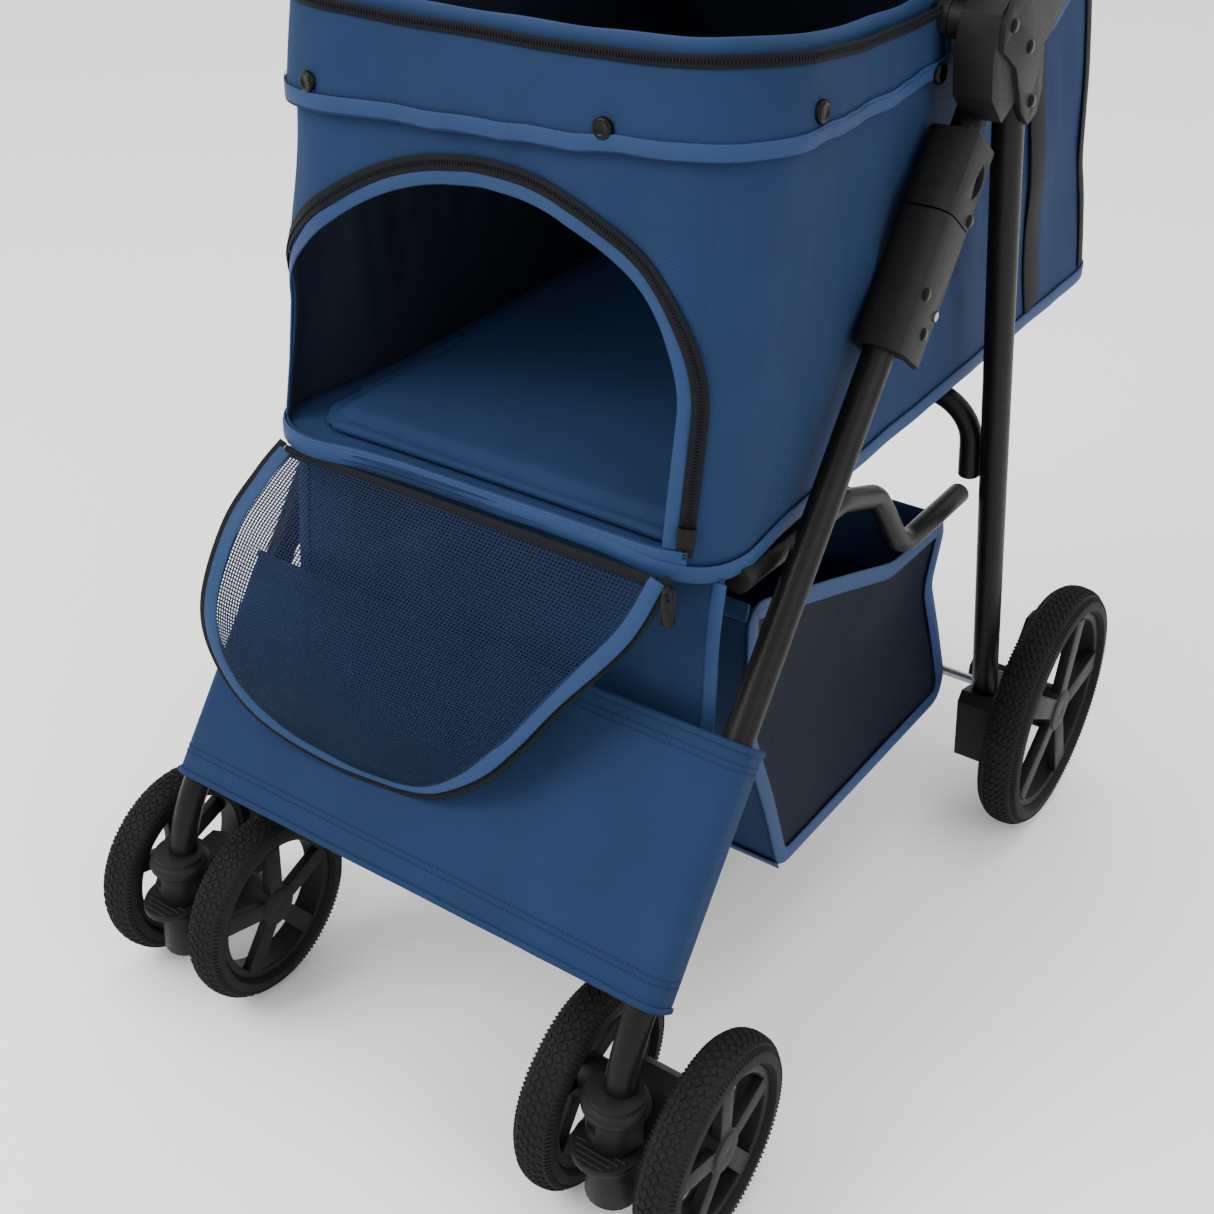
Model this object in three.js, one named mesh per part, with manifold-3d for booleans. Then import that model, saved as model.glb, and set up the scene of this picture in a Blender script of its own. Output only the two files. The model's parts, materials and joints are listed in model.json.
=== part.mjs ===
// Folding four-point pet stroller: tubular frame, fabric cabin with hood, basket and twin front casters.
// Millimetres, +Z up. The stroller rolls towards -Y, and +X is the pusher's left.
// Heights are above the ground. Lengths along Y are measured from the front wheels' axle,
// and the finished group is moved so that its origin is under the middle of its bounding box.

import * as THREE from 'three';
import { mergeVertices } from 'three/addons/utils/BufferGeometryUtils.js';
import Module from 'manifold-3d';

const wasm = await Module();
wasm.setup();

// ---- driving dimensions -------------------------------------------------------------------------

const GAP = 0.3;                    // clearance between pieces that rest on each other
const BORE_GAP = 0.75;              // a faceted bore round a faceted tube turned another way
const CENTRE_Y = 308.5;             // middle of the bounding box, from the front axle
const SIDES = [['left', 1], ['right', -1]];

const TUBE_R = 10;                  // frame tubes, 20 mm outside
const TUBE_WALL = 1.2;
const RAIL_R = 8;                   // seat rails and rear bow, 16 mm outside
const LEG_X = 188;                  // plane of the front legs, upper tubes and handle
const REAR_LEG_X = [200, 195];      // rear legs: at the knuckle and at the axle
const RAIL_X = 167.5;               // plane of the seat rails
const LEG_LEAN = 0.695;             // front leg: run in Y for each millimetre of rise
const LEG_START = [80, 316];        // a point (y, z) on the straight part of the front leg

const FRONT_WHEEL = { radius: 75, width: 30, rim: 57, hub: 16, web: 7 };
const REAR_WHEEL = { radius: 104, width: 34, rim: 85, hub: 19, web: 8 };
const FRONT_TRACK = 44.3;           // each front wheel's middle, from its caster's middle
const REAR_WHEEL_X = 232;
const REAR_AXLE = [547, 104];
const SWIVEL_Y = -42;               // caster swivel axis: 42 mm of trail
const AXLE_R = 4;
const PIN_R = 3;
const PIN_BORE = 3.4;
const WHEEL_SIDES = 28;

const TUBE_OFFSET = 10;             // upper tube's axis behind the front leg's, square to both
const PIVOT_OFFSET = 24;            // fold pivot behind the front leg's axis
const CASING_WIDTH = 34;
const CASING_FROM = -33;            // lower shell, along the leg from the fold pivot
const CASING_TO = 55;
const LEG_END = -6;                 // the front leg's top, and the upper tube's foot above it
const UPPER_FOOT = 2;
const SLIDER_TO = 107;
const REAR_PIVOT = [349, 652];      // rear leg on the knuckle
const CANOPY_HUB = [302, 706];
const RAIL_FRONT_PIVOT = [147, 413];
const RAIL_REAR_PIVOT = [445, 323];

const CABIN_HALF = 169;
const CABIN_WALL = 3;
const CABIN_RIM_Z = 712;
const CORNER = 48;                  // plan radius of the cabin's upright corners
const DOOR_HINGE = [64, 421];
const FLAP_THICKNESS = 2.4;
const HANDLE_LINE = 330;            // the handle rises at 45 degrees along z = y + 330
const GRIP_Y = 620;

// ---- materials ----------------------------------------------------------------------------------

const finish = (color, roughness, metalness) => () =>
  new THREE.MeshStandardMaterial({ color, roughness, metalness });
const blackTube = finish(0x1a1b1c, 0.38, 0.5);
const blackPlastic = finish(0x1f2021, 0.55, 0.0);
const tyreRubber = finish(0x18191a, 0.85, 0.0);
const steel = finish(0x8f9296, 0.35, 1.0);
const navyFabric = finish(0x1f3f6b, 0.85, 0.0);
const navyMesh = finish(0x152843, 0.9, 0.0);
const gripFoam = finish(0x202122, 0.9, 0.0);
const hardboard = finish(0x6d563f, 0.8, 0.0);

// ---- geometry helpers ---------------------------------------------------------------------------

const stroller = new THREE.Group();

function addPart(name, geometry, material) {
  const mesh = new THREE.Mesh(geometry, material());
  mesh.name = name;
  stroller.add(mesh);
}

function toSolid(geometry) {
  const bare = geometry.clone();
  bare.deleteAttribute('normal');
  bare.deleteAttribute('uv');
  const merged = mergeVertices(bare, 1e-3);
  return new wasm.Manifold(new wasm.Mesh({
    numProp: 3,
    vertProperties: new Float32Array(merged.attributes.position.array),
    triVerts: new Uint32Array(merged.index.array),
  }));
}

function toGeometry(solid) {
  const mesh = solid.getMesh();
  const geometry = new THREE.BufferGeometry();
  geometry.setAttribute('position', new THREE.BufferAttribute(mesh.vertProperties, 3));
  geometry.setIndex(new THREE.BufferAttribute(mesh.triVerts, 1));
  geometry.computeVertexNormals();
  return geometry;
}

const join = (first, ...others) => toGeometry(others.reduce((a, b) => a.add(toSolid(b)), toSolid(first)));
const cut = (first, ...others) => toGeometry(others.reduce((a, b) => a.subtract(toSolid(b)), toSolid(first)));

// A route of straight runs and round bends. Every station is one section of the extruded tube.
class BentRoute extends THREE.Curve {
  constructor(corners, bendRadius, stepsPerBend) {
    super();
    this.stations = [];
    this.tangents = [];
    const points = corners.map((c) => new THREE.Vector3(...c));
    const last = points.length - 1;
    const towards = (a, b) => b.clone().sub(a).normalize();
    this.addStation(points[0], towards(points[0], points[1]));
    for (let i = 1; i < last; i++) {
      this.addBend(points[i], towards(points[i - 1], points[i]), towards(points[i], points[i + 1]),
        bendRadius, stepsPerBend);
    }
    this.addStation(points[last], towards(points[last - 1], points[last]));
  }

  addStation(point, tangent) {
    this.stations.push(point.clone());
    this.tangents.push(tangent.clone());
  }

  addBend(corner, before, after, radius, steps) {
    const angle = before.angleTo(after);
    const reach = radius * Math.tan(angle / 2);
    const start = corner.clone().addScaledVector(before, -reach);
    const axis = before.clone().cross(after).normalize();
    const inward = axis.clone().cross(before);
    const centre = start.clone().addScaledVector(inward, radius);
    for (let k = 0; k <= steps; k++) {
      const turn = (angle * k) / steps;
      const arm = start.clone().sub(centre).applyAxisAngle(axis, turn);
      this.addStation(centre.clone().add(arm), before.clone().applyAxisAngle(axis, turn));
    }
  }

  indexAt(u) {
    return Math.round(u * (this.stations.length - 1));
  }

  getPoint(t, target = new THREE.Vector3()) {
    return target.copy(this.stations[this.indexAt(t)]);
  }

  getPointAt(u, target = new THREE.Vector3()) {
    return this.getPoint(u, target);
  }

  getTangentAt(u, target = new THREE.Vector3()) {
    return target.copy(this.tangents[this.indexAt(u)]);
  }
}

function roundShape(radius, sides) {
  const shape = new THREE.Shape();
  for (let i = 0; i < sides; i++) {
    const a = (i / sides) * Math.PI * 2;
    const [x, y] = [radius * Math.cos(a), radius * Math.sin(a)];
    if (i === 0) shape.moveTo(x, y);
    else shape.lineTo(x, y);
  }
  shape.closePath();
  return shape;
}

// A bar or tube of round section along a route; wall 0 makes it solid.
function tube(corners, radius, { bend = 40, steps = 3, sides = 12, wall = 0 } = {}) {
  const route = new BentRoute(corners, bend, steps);
  const shape = roundShape(radius, sides);
  if (wall > 0) shape.holes.push(new THREE.Path(roundShape(radius - wall, sides).getPoints().reverse()));
  return new THREE.ExtrudeGeometry(shape, {
    steps: route.stations.length - 1,
    extrudePath: route,
    bevelEnabled: false,
    curveSegments: 1,
  });
}

const outline = (points) => new THREE.Shape(points.map(([a, b]) => new THREE.Vector2(a, b)));

function prism(shape, depth, xAxis, yAxis, zAxis, at) {
  const geometry = new THREE.ExtrudeGeometry(shape, { depth, bevelEnabled: false, curveSegments: 6 });
  const [x, y, z] = [xAxis, yAxis, zAxis].map((a) => new THREE.Vector3(...a));
  return geometry.applyMatrix4(new THREE.Matrix4().makeBasis(x, y, z).setPosition(...at));
}

// An outline of (y, z) points carried from x0 to x1.
const sidePlate = (points, x0, x1) =>
  prism(outline(points), x1 - x0, [0, 1, 0], [0, 0, 1], [1, 0, 0], [x0, 0, 0]);
// An outline of (x, z) points carried from y0 to y1.
const frontPlate = (points, y0, y1) =>
  prism(outline(points), y1 - y0, [1, 0, 0], [0, 0, 1], [0, -1, 0], [0, y1, 0]);
// An outline of (x, y) points carried from z0 to z1.
const planPlate = (points, z0, z1) =>
  prism(outline(points), z1 - z0, [1, 0, 0], [0, 1, 0], [0, 0, 1], [0, 0, z0]);

const rod = (from, to, radius, sides = 16) => tube([from, to], radius, { sides });
const crossRod = (x0, x1, [y, z], radius, sides = 16) => rod([x0, y, z], [x1, y, z], radius, sides);

function roundedOutline(x0, y0, x1, y1, radius, steps = 3) {
  const corners = [[x1 - radius, y0 + radius, -90], [x1 - radius, y1 - radius, 0],
    [x0 + radius, y1 - radius, 90], [x0 + radius, y0 + radius, 180]];
  const arc = ([cx, cy, from]) => Array.from({ length: steps + 1 }, (_, k) => {
    const a = ((from + (90 * k) / steps) * Math.PI) / 180;
    return [cx + radius * Math.cos(a), cy + radius * Math.sin(a)];
  });
  return corners.flatMap(arc);
}

// A solid skinned over closed rings of [x, y, z] points, all with the same count, bottom ring first.
function loft(rings) {
  const count = rings[0].length;
  const positions = rings.flat(2);
  const index = [];
  for (let r = 0; r < rings.length - 1; r++) {
    for (let i = 0; i < count; i++) {
      const j = (i + 1) % count;
      const [a, b] = [r * count + i, r * count + j];
      index.push(a, b, b + count, a, b + count, a + count);
    }
  }
  const top = (rings.length - 1) * count;
  for (let i = 1; i < count - 1; i++) {
    index.push(0, i + 1, i);
    index.push(top, top + i, top + i + 1);
  }
  return indexed(positions, index);
}

// A sheet of even thickness: every section is a list of [outer point, inner point] pairs.
function shell(sections) {
  const n = sections[0].length;
  const positions = sections.flat(3);
  const index = [];
  const id = (s, i, side) => (s * n + i) * 2 + side;
  const quad = (a, b, c, d) => index.push(a, c, b, a, d, c);
  const last = sections.length - 1;
  for (let s = 0; s < last; s++) {
    for (let i = 0; i < n - 1; i++) {
      quad(id(s, i, 0), id(s, i + 1, 0), id(s + 1, i + 1, 0), id(s + 1, i, 0));
      quad(id(s, i, 1), id(s + 1, i, 1), id(s + 1, i + 1, 1), id(s, i + 1, 1));
    }
    quad(id(s, 0, 1), id(s, 0, 0), id(s + 1, 0, 0), id(s + 1, 0, 1));
    quad(id(s, n - 1, 0), id(s, n - 1, 1), id(s + 1, n - 1, 1), id(s + 1, n - 1, 0));
  }
  for (let i = 0; i < n - 1; i++) {
    quad(id(0, i, 1), id(0, i + 1, 1), id(0, i + 1, 0), id(0, i, 0));
    quad(id(last, i, 0), id(last, i + 1, 0), id(last, i + 1, 1), id(last, i, 1));
  }
  return indexed(positions, index);
}

function indexed(positions, index) {
  const geometry = new THREE.BufferGeometry();
  geometry.setAttribute('position', new THREE.Float32BufferAttribute(positions, 3));
  geometry.setIndex(index);
  geometry.computeVertexNormals();
  return geometry;
}

// ---- places along the front leg -------------------------------------------------------------------

const legY = (z) => LEG_START[0] + (z - LEG_START[1]) * LEG_LEAN;
const leanLength = Math.hypot(LEG_LEAN, 1);
const ALONG = [0, LEG_LEAN / leanLength, 1 / leanLength];     // up the leg
const BEHIND = [0, 1 / leanLength, -LEG_LEAN / leanLength];   // square to the leg, rearwards
const PIVOT_Z = 550;

// The point s up the leg from the fold pivot's station and n behind the leg's axis.
function onLeg(x, s, n = 0) {
  const y = legY(PIVOT_Z);
  return [x, y + s * ALONG[1] + n * BEHIND[1], PIVOT_Z + s * ALONG[2] + n * BEHIND[2]];
}

// An outline of (x, n) points carried up the leg from s0 to s1.
const legPrism = (points, side, s0, s1) =>
  prism(outline(points), s1 - s0, [1, 0, 0], BEHIND, ALONG, onLeg(side * LEG_X, s0));

const FOLD_PIVOT = onLeg(0, 0, PIVOT_OFFSET).slice(1);

// ---- front frame ----------------------------------------------------------------------------------

const legRoute = (side) => [
  [side * LEG_X, -40.5, 107], [side * LEG_X, legY(150), 150], onLeg(side * LEG_X, LEG_END)];

const frontLegTube = (side, radius, wall = 0) => tube(legRoute(side), radius, { bend: 120, wall });

// The shell that holds the leg's top end and the fold pivot.
function legCasing(side) {
  const half = CASING_WIDTH / 2;
  const slot = TUBE_R + BORE_GAP;
  const body = legPrism(roundedOutline(-half, -14, half, PIVOT_OFFSET + 12, 11), side, CASING_FROM, CASING_TO);
  const tubeSlot = legPrism([[-slot, -2], [slot, -2], [slot, 61], [-slot, 61]], side, LEG_END - 1, 82);
  const hingeSlot = legPrism([[-slot, 12], [slot, 12], [slot, 60], [-slot, 60]], side, CASING_FROM - 9, 80);
  return cut(body, tubeSlot, hingeSlot, frontLegTube(side, TUBE_R + GAP),
    crossRod(side * LEG_X - 40, side * LEG_X + 40, FOLD_PIVOT, PIN_BORE));
}

function casterSocket(side) {
  const x = side * LEG_X;
  const body = rod([x, SWIVEL_Y, 89], [x, SWIVEL_Y, 127], 18, 20);
  const windowCut = sidePlate([[SWIVEL_Y - 30, 102], [SWIVEL_Y - 12.4, 102], [SWIVEL_Y - 12.4, 112],
    [SWIVEL_Y - 30, 112]], x - 12, x - 3);
  return cut(body, windowCut, frontLegTube(side, TUBE_R + GAP),
    rod([x, SWIVEL_Y, 80], [x, SWIVEL_Y, 103], 6.3));
}

function frontCrossTube() {
  const z = 232;
  const reach = LEG_X - TUBE_R - 1;
  return crossRod(-reach, reach, [legY(z) - 1, z], 7, 10);
}

// The fabric apron wraps round both legs: a C-shaped section carried along their slope.
function apron() {
  const [low, high] = [[legY(177), 177], LEG_START];
  const run = new THREE.Vector3(0, high[0] - low[0], high[1] - low[1]);
  const along = run.clone().normalize();
  const behind = [0, along.z, -along.y];
  const outer = 202;
  const inner = outer - 2.2;
  const [front, lip] = [-13.5, 11];
  const section = [[-outer, lip], [-outer, front + 7], [-outer + 7, front], [outer - 7, front],
    [outer, front + 7], [outer, lip], [inner, lip], [inner, front + 7.5], [inner - 5, front + 2.2],
    [-inner + 5, front + 2.2], [-inner, front + 7.5], [-inner, lip]];
  return prism(outline(section), run.length(), [1, 0, 0], behind, along.toArray(), [0, ...low]);
}

// The fabric between the apron's top hem and the cabin's floor.
function frontPanel() {
  return sidePlate([[83, 326], [86, 326], [90, 417], [87, 417]], -166, 166);
}

// ---- push frame -----------------------------------------------------------------------------------

const UPPER_END = 170;               // the upper tube's top, along the leg from the fold pivot
const upperTubeTo = (side, s, radius, wall = 0) => tube(
  [onLeg(side * LEG_X, UPPER_FOOT, TUBE_OFFSET), onLeg(side * LEG_X, s, TUBE_OFFSET)], radius, { wall });

const upperTube = (side) => upperTubeTo(side, UPPER_END, TUBE_R, TUBE_WALL);

// A steel bracket behind the upper tube's foot carries it on the fold pivot.
function hingeBracket(side) {
  const half = 6;
  const behind = TUBE_OFFSET + TUBE_R + GAP;
  const shape = [[-half, behind], [half, behind], [half, PIVOT_OFFSET + 9], [-half, PIVOT_OFFSET + 9]];
  return cut(legPrism(shape, side, -9, 46),
    crossRod(side * LEG_X - 20, side * LEG_X + 20, FOLD_PIVOT, PIN_BORE));
}

const HANDLE_FOOT = 366;
const handleRoute = [
  [LEG_X, HANDLE_FOOT, HANDLE_FOOT + HANDLE_LINE], [LEG_X, GRIP_Y, GRIP_Y + HANDLE_LINE],
  [-LEG_X, GRIP_Y, GRIP_Y + HANDLE_LINE], [-LEG_X, HANDLE_FOOT, HANDLE_FOOT + HANDLE_LINE]];

const handleTube = (radius, wall = 0) => tube(handleRoute, radius, { bend: 55, steps: 4, wall });

function handleGrip() {
  const reach = 122;
  const at = [GRIP_Y, GRIP_Y + HANDLE_LINE];
  return cut(crossRod(-reach, reach, at, 16, 16), handleTube(TUBE_R + GAP));
}

// The knuckle joins the upper tube, the handle, the rear leg's pivot and the canopy's hub.
function knuckle(side) {
  const plate = [[349, 637], [361, 642], [365, 656], [358, 684], [340, 708], [318, 722], [299, 721],
    [288, 709], [291, 693], [316, 678], [334, 648]];
  const block = [[312, 646], [291, 664], [284, 690], [288, 714], [304, 725], [336, 730], [372, 728],
    [392, 722], [396, 708], [378, 690], [352, 676], [334, 668], [331, 656]];
  const place = (points, x0, x1) => sidePlate(points, ...[side * x0, side * x1].sort((a, b) => a - b));
  const solid = join(place(block, 186.4, 211), place(plate, 210.4, 214));
  return cut(solid, handleTube(TUBE_R + GAP), upperTubeTo(side, UPPER_END + 1, TUBE_R + GAP),
    crossRod(side * 170, side * 220, REAR_PIVOT, PIN_BORE),
    crossRod(side * 170, side * 220, CANOPY_HUB, PIN_BORE));
}

// The moulded tray between the handle's tubes, with two cup holders and a shallow middle dish.
function cupTray() {
  const [y0, y1, top] = [500, 590, 880];
  const plate = planPlate(roundedOutline(-184, y0, 184, y1, 22), top - 9, top);
  const cup = (x) => rod([x, 545, top - 62], [x, 545, top - 4], 40, 20);
  const cupBore = (x) => rod([x, 545, top - 59], [x, 545, top + 4], 37, 20);
  const dish = planPlate(roundedOutline(-62, y0 + 12, 62, y1 - 12, 10), top - 24, top - 2);
  const dishHollow = planPlate(roundedOutline(-59, y0 + 15, 59, y1 - 15, 8), top - 21, top + 4);
  return cut(join(plate, cup(-115), cup(115), dish), cupBore(-115), cupBore(115), dishHollow,
    handleTube(TUBE_R + GAP));
}

// ---- canopy ---------------------------------------------------------------------------------------

// Points of an arch from one side to the other: straight sides with round shoulders. The arch
// stands in the plane that holds the X axis and the line from base to crown, both (y, z).
function arch(half, base, crown, shoulder, steps = 4) {
  const height = Math.hypot(crown[0] - base[0], crown[1] - base[1]);
  const r = Math.min(shoulder, height * 0.98);
  const at = (x, h) => [x, base[0] + ((crown[0] - base[0]) * h) / height,
    base[1] + ((crown[1] - base[1]) * h) / height];
  const points = [at(half, 0)];
  for (let k = 0; k <= steps; k++) {
    const a = (k / steps) * (Math.PI / 2);
    points.push(at(half - shoulder + shoulder * Math.cos(a), height - r + r * Math.sin(a)));
  }
  return [...points, ...points.map(([x, y, z]) => [-x, y, z]).reverse()];
}

const bowCrown = (degrees, length) => {
  const a = (degrees * Math.PI) / 180;
  return [CANOPY_HUB[0] + length * Math.cos(a), CANOPY_HUB[1] + length * Math.sin(a)];
};

const FRONT_BOW_DEG = 98;
const REAR_BOW_DEG = 58;
// The front bow swings back outside the rear bow, which is smaller and stays put.
const FRONT_BOW = { x: 181.8, crown: 213, lean: FRONT_BOW_DEG };
const REAR_BOW = { x: 173.2, crown: 202, lean: REAR_BOW_DEG };
const BOW_R = 4;

function canopyBow({ x, crown, lean }) {
  const top = bowCrown(lean, crown);
  const corners = [[x, ...CANOPY_HUB], [x, ...top], [-x, ...top], [-x, ...CANOPY_HUB]];
  const bow = tube(corners, BOW_R, { bend: 95, steps: 6, sides: 8 });
  const eyes = SIDES.map(([, s]) => crossRod(s * x - BOW_R, s * x + BOW_R, CANOPY_HUB, 12));
  const bores = SIDES.map(([, s]) => crossRod(s * x - 9, s * x + 9, CANOPY_HUB, PIN_BORE));
  return cut(join(bow, ...eyes), ...bores);
}

function canopyShell(sections, shoulder) {
  const wall = 2.5;
  return shell(sections.map(([half, base, crown]) => {
    const outer = arch(half, base, crown, shoulder);
    const inner = arch(half - wall, base, [crown[0], crown[1] - wall], shoulder - wall);
    return outer.map((point, i) => [point, inner[i]]);
  }));
}

function canopyFront() {
  return canopyShell([[167, [279, 742], bowCrown(102, 200)], [168, [292, 738], bowCrown(98, 202)],
    [168, [322, 733], bowCrown(78, 197)]], 92);
}

function canopyRear() {
  return canopyShell([[168, [326, 733], bowCrown(76.5, 196.5)], [168, [352, 731], bowCrown(58, 195.5)],
    [168, [430, 728], [487, 828]], [168, [500, 724], [548, 772]], [168, [560, 717], [592, 722]]], 92);
}

// ---- cabin ----------------------------------------------------------------------------------------

const cabinRing = (half, front, back, zFront, zBack, radius) =>
  roundedOutline(-half, front, half, back, radius).map(([x, y]) =>
    [x, y, zFront + ((zBack - zFront) * (y - front)) / (back - front)]);

function cabin() {
  const w = CABIN_WALL;
  const outer = loft([cabinRing(CABIN_HALF, 68, 692, 424, 438, CORNER),
    cabinRing(CABIN_HALF, 98, 588, CABIN_RIM_Z, CABIN_RIM_Z, CORNER)]);
  const inner = loft([cabinRing(CABIN_HALF - w, 68 + w, 690 - w, 424 + w, 438 + w, CORNER - w),
    cabinRing(CABIN_HALF - w, 98 + w, 588 - w, CABIN_RIM_Z + 1, CABIN_RIM_Z + 1, CORNER - w)]);
  return cut(outer, inner, frontPlate(doorArch(0), 50, 125));
}

// The doorway: upright sides under a flat arch, leaning to the pusher's right.
function doorArch(inset) {
  const feet = [-162 + inset, 142 - inset];
  const foot = 436;
  const crown = 630 - inset;
  const middle = (feet[0] + feet[1]) / 2;
  const points = [[feet[0], foot], [feet[1], foot]];
  for (let k = 0; k <= 10; k++) {
    const a = (k / 10) * Math.PI;
    points.push([middle + (feet[1] - middle) * Math.cos(a), 516 + (crown - 516) * Math.sin(a)]);
  }
  return points;
}

const floorZ = (y) => 424 + CABIN_WALL + (14 * (y - 68)) / 624;

function floorSheet(y0, y1, lift, thickness, half) {
  const ring = (z) => roundedOutline(-half, y0, half, y1, 34).map(([x, y]) => [x, y, floorZ(y) + z]);
  return loft([ring(lift), ring(lift + thickness)]);
}

// The door flap hangs open over the apron: the doorway's outline, hinged along the floor's front edge.
function doorFlap() {
  const [y, z] = DOOR_HINGE;
  const fall = (-112 * Math.PI) / 180;
  const down = [0, Math.cos(fall), Math.sin(fall)];
  const behind = [0, -down[2], down[1]];
  const shape = outline(doorArch(3).map(([x, height]) => [x, height - 433]));
  return prism(shape, FLAP_THICKNESS, [1, 0, 0], down, behind, [0, y, z]);
}

function zipPull() {
  const x = 150;
  const tab = frontPlate(roundedOutline(x - 4.5, 396, x + 4.5, 424, 4.2, 2), 52, 54.4);
  return cut(tab, frontPlate(roundedOutline(x - 1.8, 414, x + 1.8, 420, 1.7, 2), 50, 57));
}

// ---- rear frame -----------------------------------------------------------------------------------

const REAR_LEG_LEAN = 0.2914;
const rearLegY = (z) => REAR_PIVOT[0] + (REAR_PIVOT[1] - z) * REAR_LEG_LEAN;
const REAR_LEG_SPAN = [REAR_PIVOT[1] + 6, 72];
const rearLegPoint = (side, z) => {
  const down = (REAR_LEG_SPAN[0] - z) / (REAR_LEG_SPAN[0] - REAR_LEG_SPAN[1]);
  return [side * (REAR_LEG_X[0] + (REAR_LEG_X[1] - REAR_LEG_X[0]) * down), rearLegY(z), z];
};
const rearLegTube = (side, radius, wall = 0) =>
  tube(REAR_LEG_SPAN.map((z) => rearLegPoint(side, z)), radius, { wall });

const rearLeg = (side) => cut(rearLegTube(side, TUBE_R, TUBE_WALL),
  crossRod(side * 180, side * 220, REAR_PIVOT, PIN_BORE));

function rearBow() {
  const x = rearLegPoint(1, 350)[0] - TUBE_R - RAIL_R - 0.8;
  const foot = [rearLegY(350), 350];
  const head = [424, 414];
  const corners = [[x, ...foot], [x, ...head], [-x, ...head], [-x, ...foot]];
  return tube(corners, RAIL_R, { bend: 36, sides: 10, wall: TUBE_WALL });
}

function axleHousing(side) {
  const profile = [[491, 66], [524, 60], [552, 82], [563, 98], [560, 114], [548, 121], [524, 122],
    [486, 132], [480, 124]];
  const [x0, x1] = [side * 182, side * 209.6].sort((a, b) => a - b);
  return cut(sidePlate(profile, x0, x1), rearLegTube(side, TUBE_R + GAP),
    crossRod(x0 - 5, x1 + 5, REAR_AXLE, AXLE_R + 0.2));
}

const rearAxle = () => crossRod(-243, 243, REAR_AXLE, AXLE_R, 12);

function brakePedal(side) {
  const place = (points, x0, x1) => sidePlate(points, ...[side * x0, side * x1].sort((a, b) => a - b));
  const cheek = [[508, 98], [514, 88], [526, 88], [532, 98], [534, 124], [556, 124], [567, 104], [567, 92],
    [594, 92], [594, 98], [576, 110], [566, 140], [556, 176], [546, 190], [530, 190], [520, 176]];
  const tread = [[567, 92], [594, 92], [594, 98], [576, 110], [567, 104]];
  return join(place(cheek, 210, 213.6), place(tread, 158, 210.5));
}

// ---- seat rails and basket --------------------------------------------------------------------------

function seatRail(side) {
  const x = side * RAIL_X;
  const [dy, dz] = RAIL_FRONT_PIVOT;
  const [cy, cz] = RAIL_REAR_PIVOT;
  const corners = [[x, 106, 411], [x, dy, dz - 4], [x, 238, 407], [x, 296, 387], [x, 350, cz],
    [x, cy + 8, cz]];
  return tube(corners, RAIL_R, { bend: 40, steps: 2, sides: 10, wall: TUBE_WALL });
}

const railCrossTube = () =>
  crossRod(-RAIL_X + RAIL_R + 0.5, RAIL_X - RAIL_R - 0.5, [232, 407], 7, 10);

function basket() {
  const wall = 2.5;
  const half = 163;
  const profile = [[211, 121], [484, 119], [488, 136], [462, 192], [432, 252], [444, 302],
    [352, 306], [288, 326], [132, 374], [143, 266], [178, 195]];
  const hollow = [[214, 124], [481, 122], [484, 136], [459, 192], [428, 252], [441, 302], [441, 420],
    [136, 420], [136, 372], [147, 267], [182, 196]];
  return cut(sidePlate(profile, -half, half), sidePlate(hollow, -half + wall, half - wall));
}

// ---- casters and wheels -----------------------------------------------------------------------------

function casterFork(side) {
  const x = side * LEG_X;
  const barrel = rod([x, SWIVEL_Y, 42], [x, SWIVEL_Y, 84], 17, 20);
  const stem = rod([x, SWIVEL_Y, 70], [x, SWIVEL_Y, 101], 6, 12);
  const arm = sidePlate([[-44, 52], [-14, 50], [12, 56], [24, 76], [21, 96], [8, 106], [-8, 104],
    [-19, 92], [-28, 83], [-44, 83]], x - 17, x + 17);
  const boss = crossRod(x - 28.5, x + 28.5, [0, 75], 13, 16);
  const axle = crossRod(x - 54, x + 54, [0, 75], AXLE_R, 12);
  return join(barrel, stem, arm, boss, axle);
}

// The swivel lock turns on the caster's stem; its tongue points forwards.
function swivelLock(side) {
  const x = side * LEG_X;
  const points = [];
  for (let k = 0; k <= 16; k++) {
    const a = Math.PI + (k / 16) * Math.PI;
    points.push([x + 23 * Math.cos(a), SWIVEL_Y - 2 + 23 * Math.sin(a)]);
  }
  points.push([x + 15, SWIVEL_Y + 10], [x - 15, SWIVEL_Y + 10]);
  return cut(planPlate(points, 84.4, 88.5), rod([x, SWIVEL_Y, 80], [x, SWIVEL_Y, 92], 6.3, 12));
}

// Turns a lathe solid's axis from Y to X and moves it to its axle.
const onAxle = (geometry, x, [y, z]) => geometry.rotateZ(-Math.PI / 2).translate(x, y, z);

function tyre({ radius, width, rim }) {
  const h = width / 2;
  const wall = radius - rim;
  const profile = [[rim + GAP, -h * 0.72], [rim + wall * 0.42, -h], [rim + wall * 0.8, -h * 0.84],
    [radius, -h * 0.34], [radius, h * 0.34], [rim + wall * 0.8, h * 0.84],
    [rim + wall * 0.42, h], [rim + GAP, h * 0.72]];
  const points = [...profile, profile[0]].map(([r, a]) => new THREE.Vector2(r, a));
  return new THREE.LatheGeometry(points, WHEEL_SIDES);
}

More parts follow.
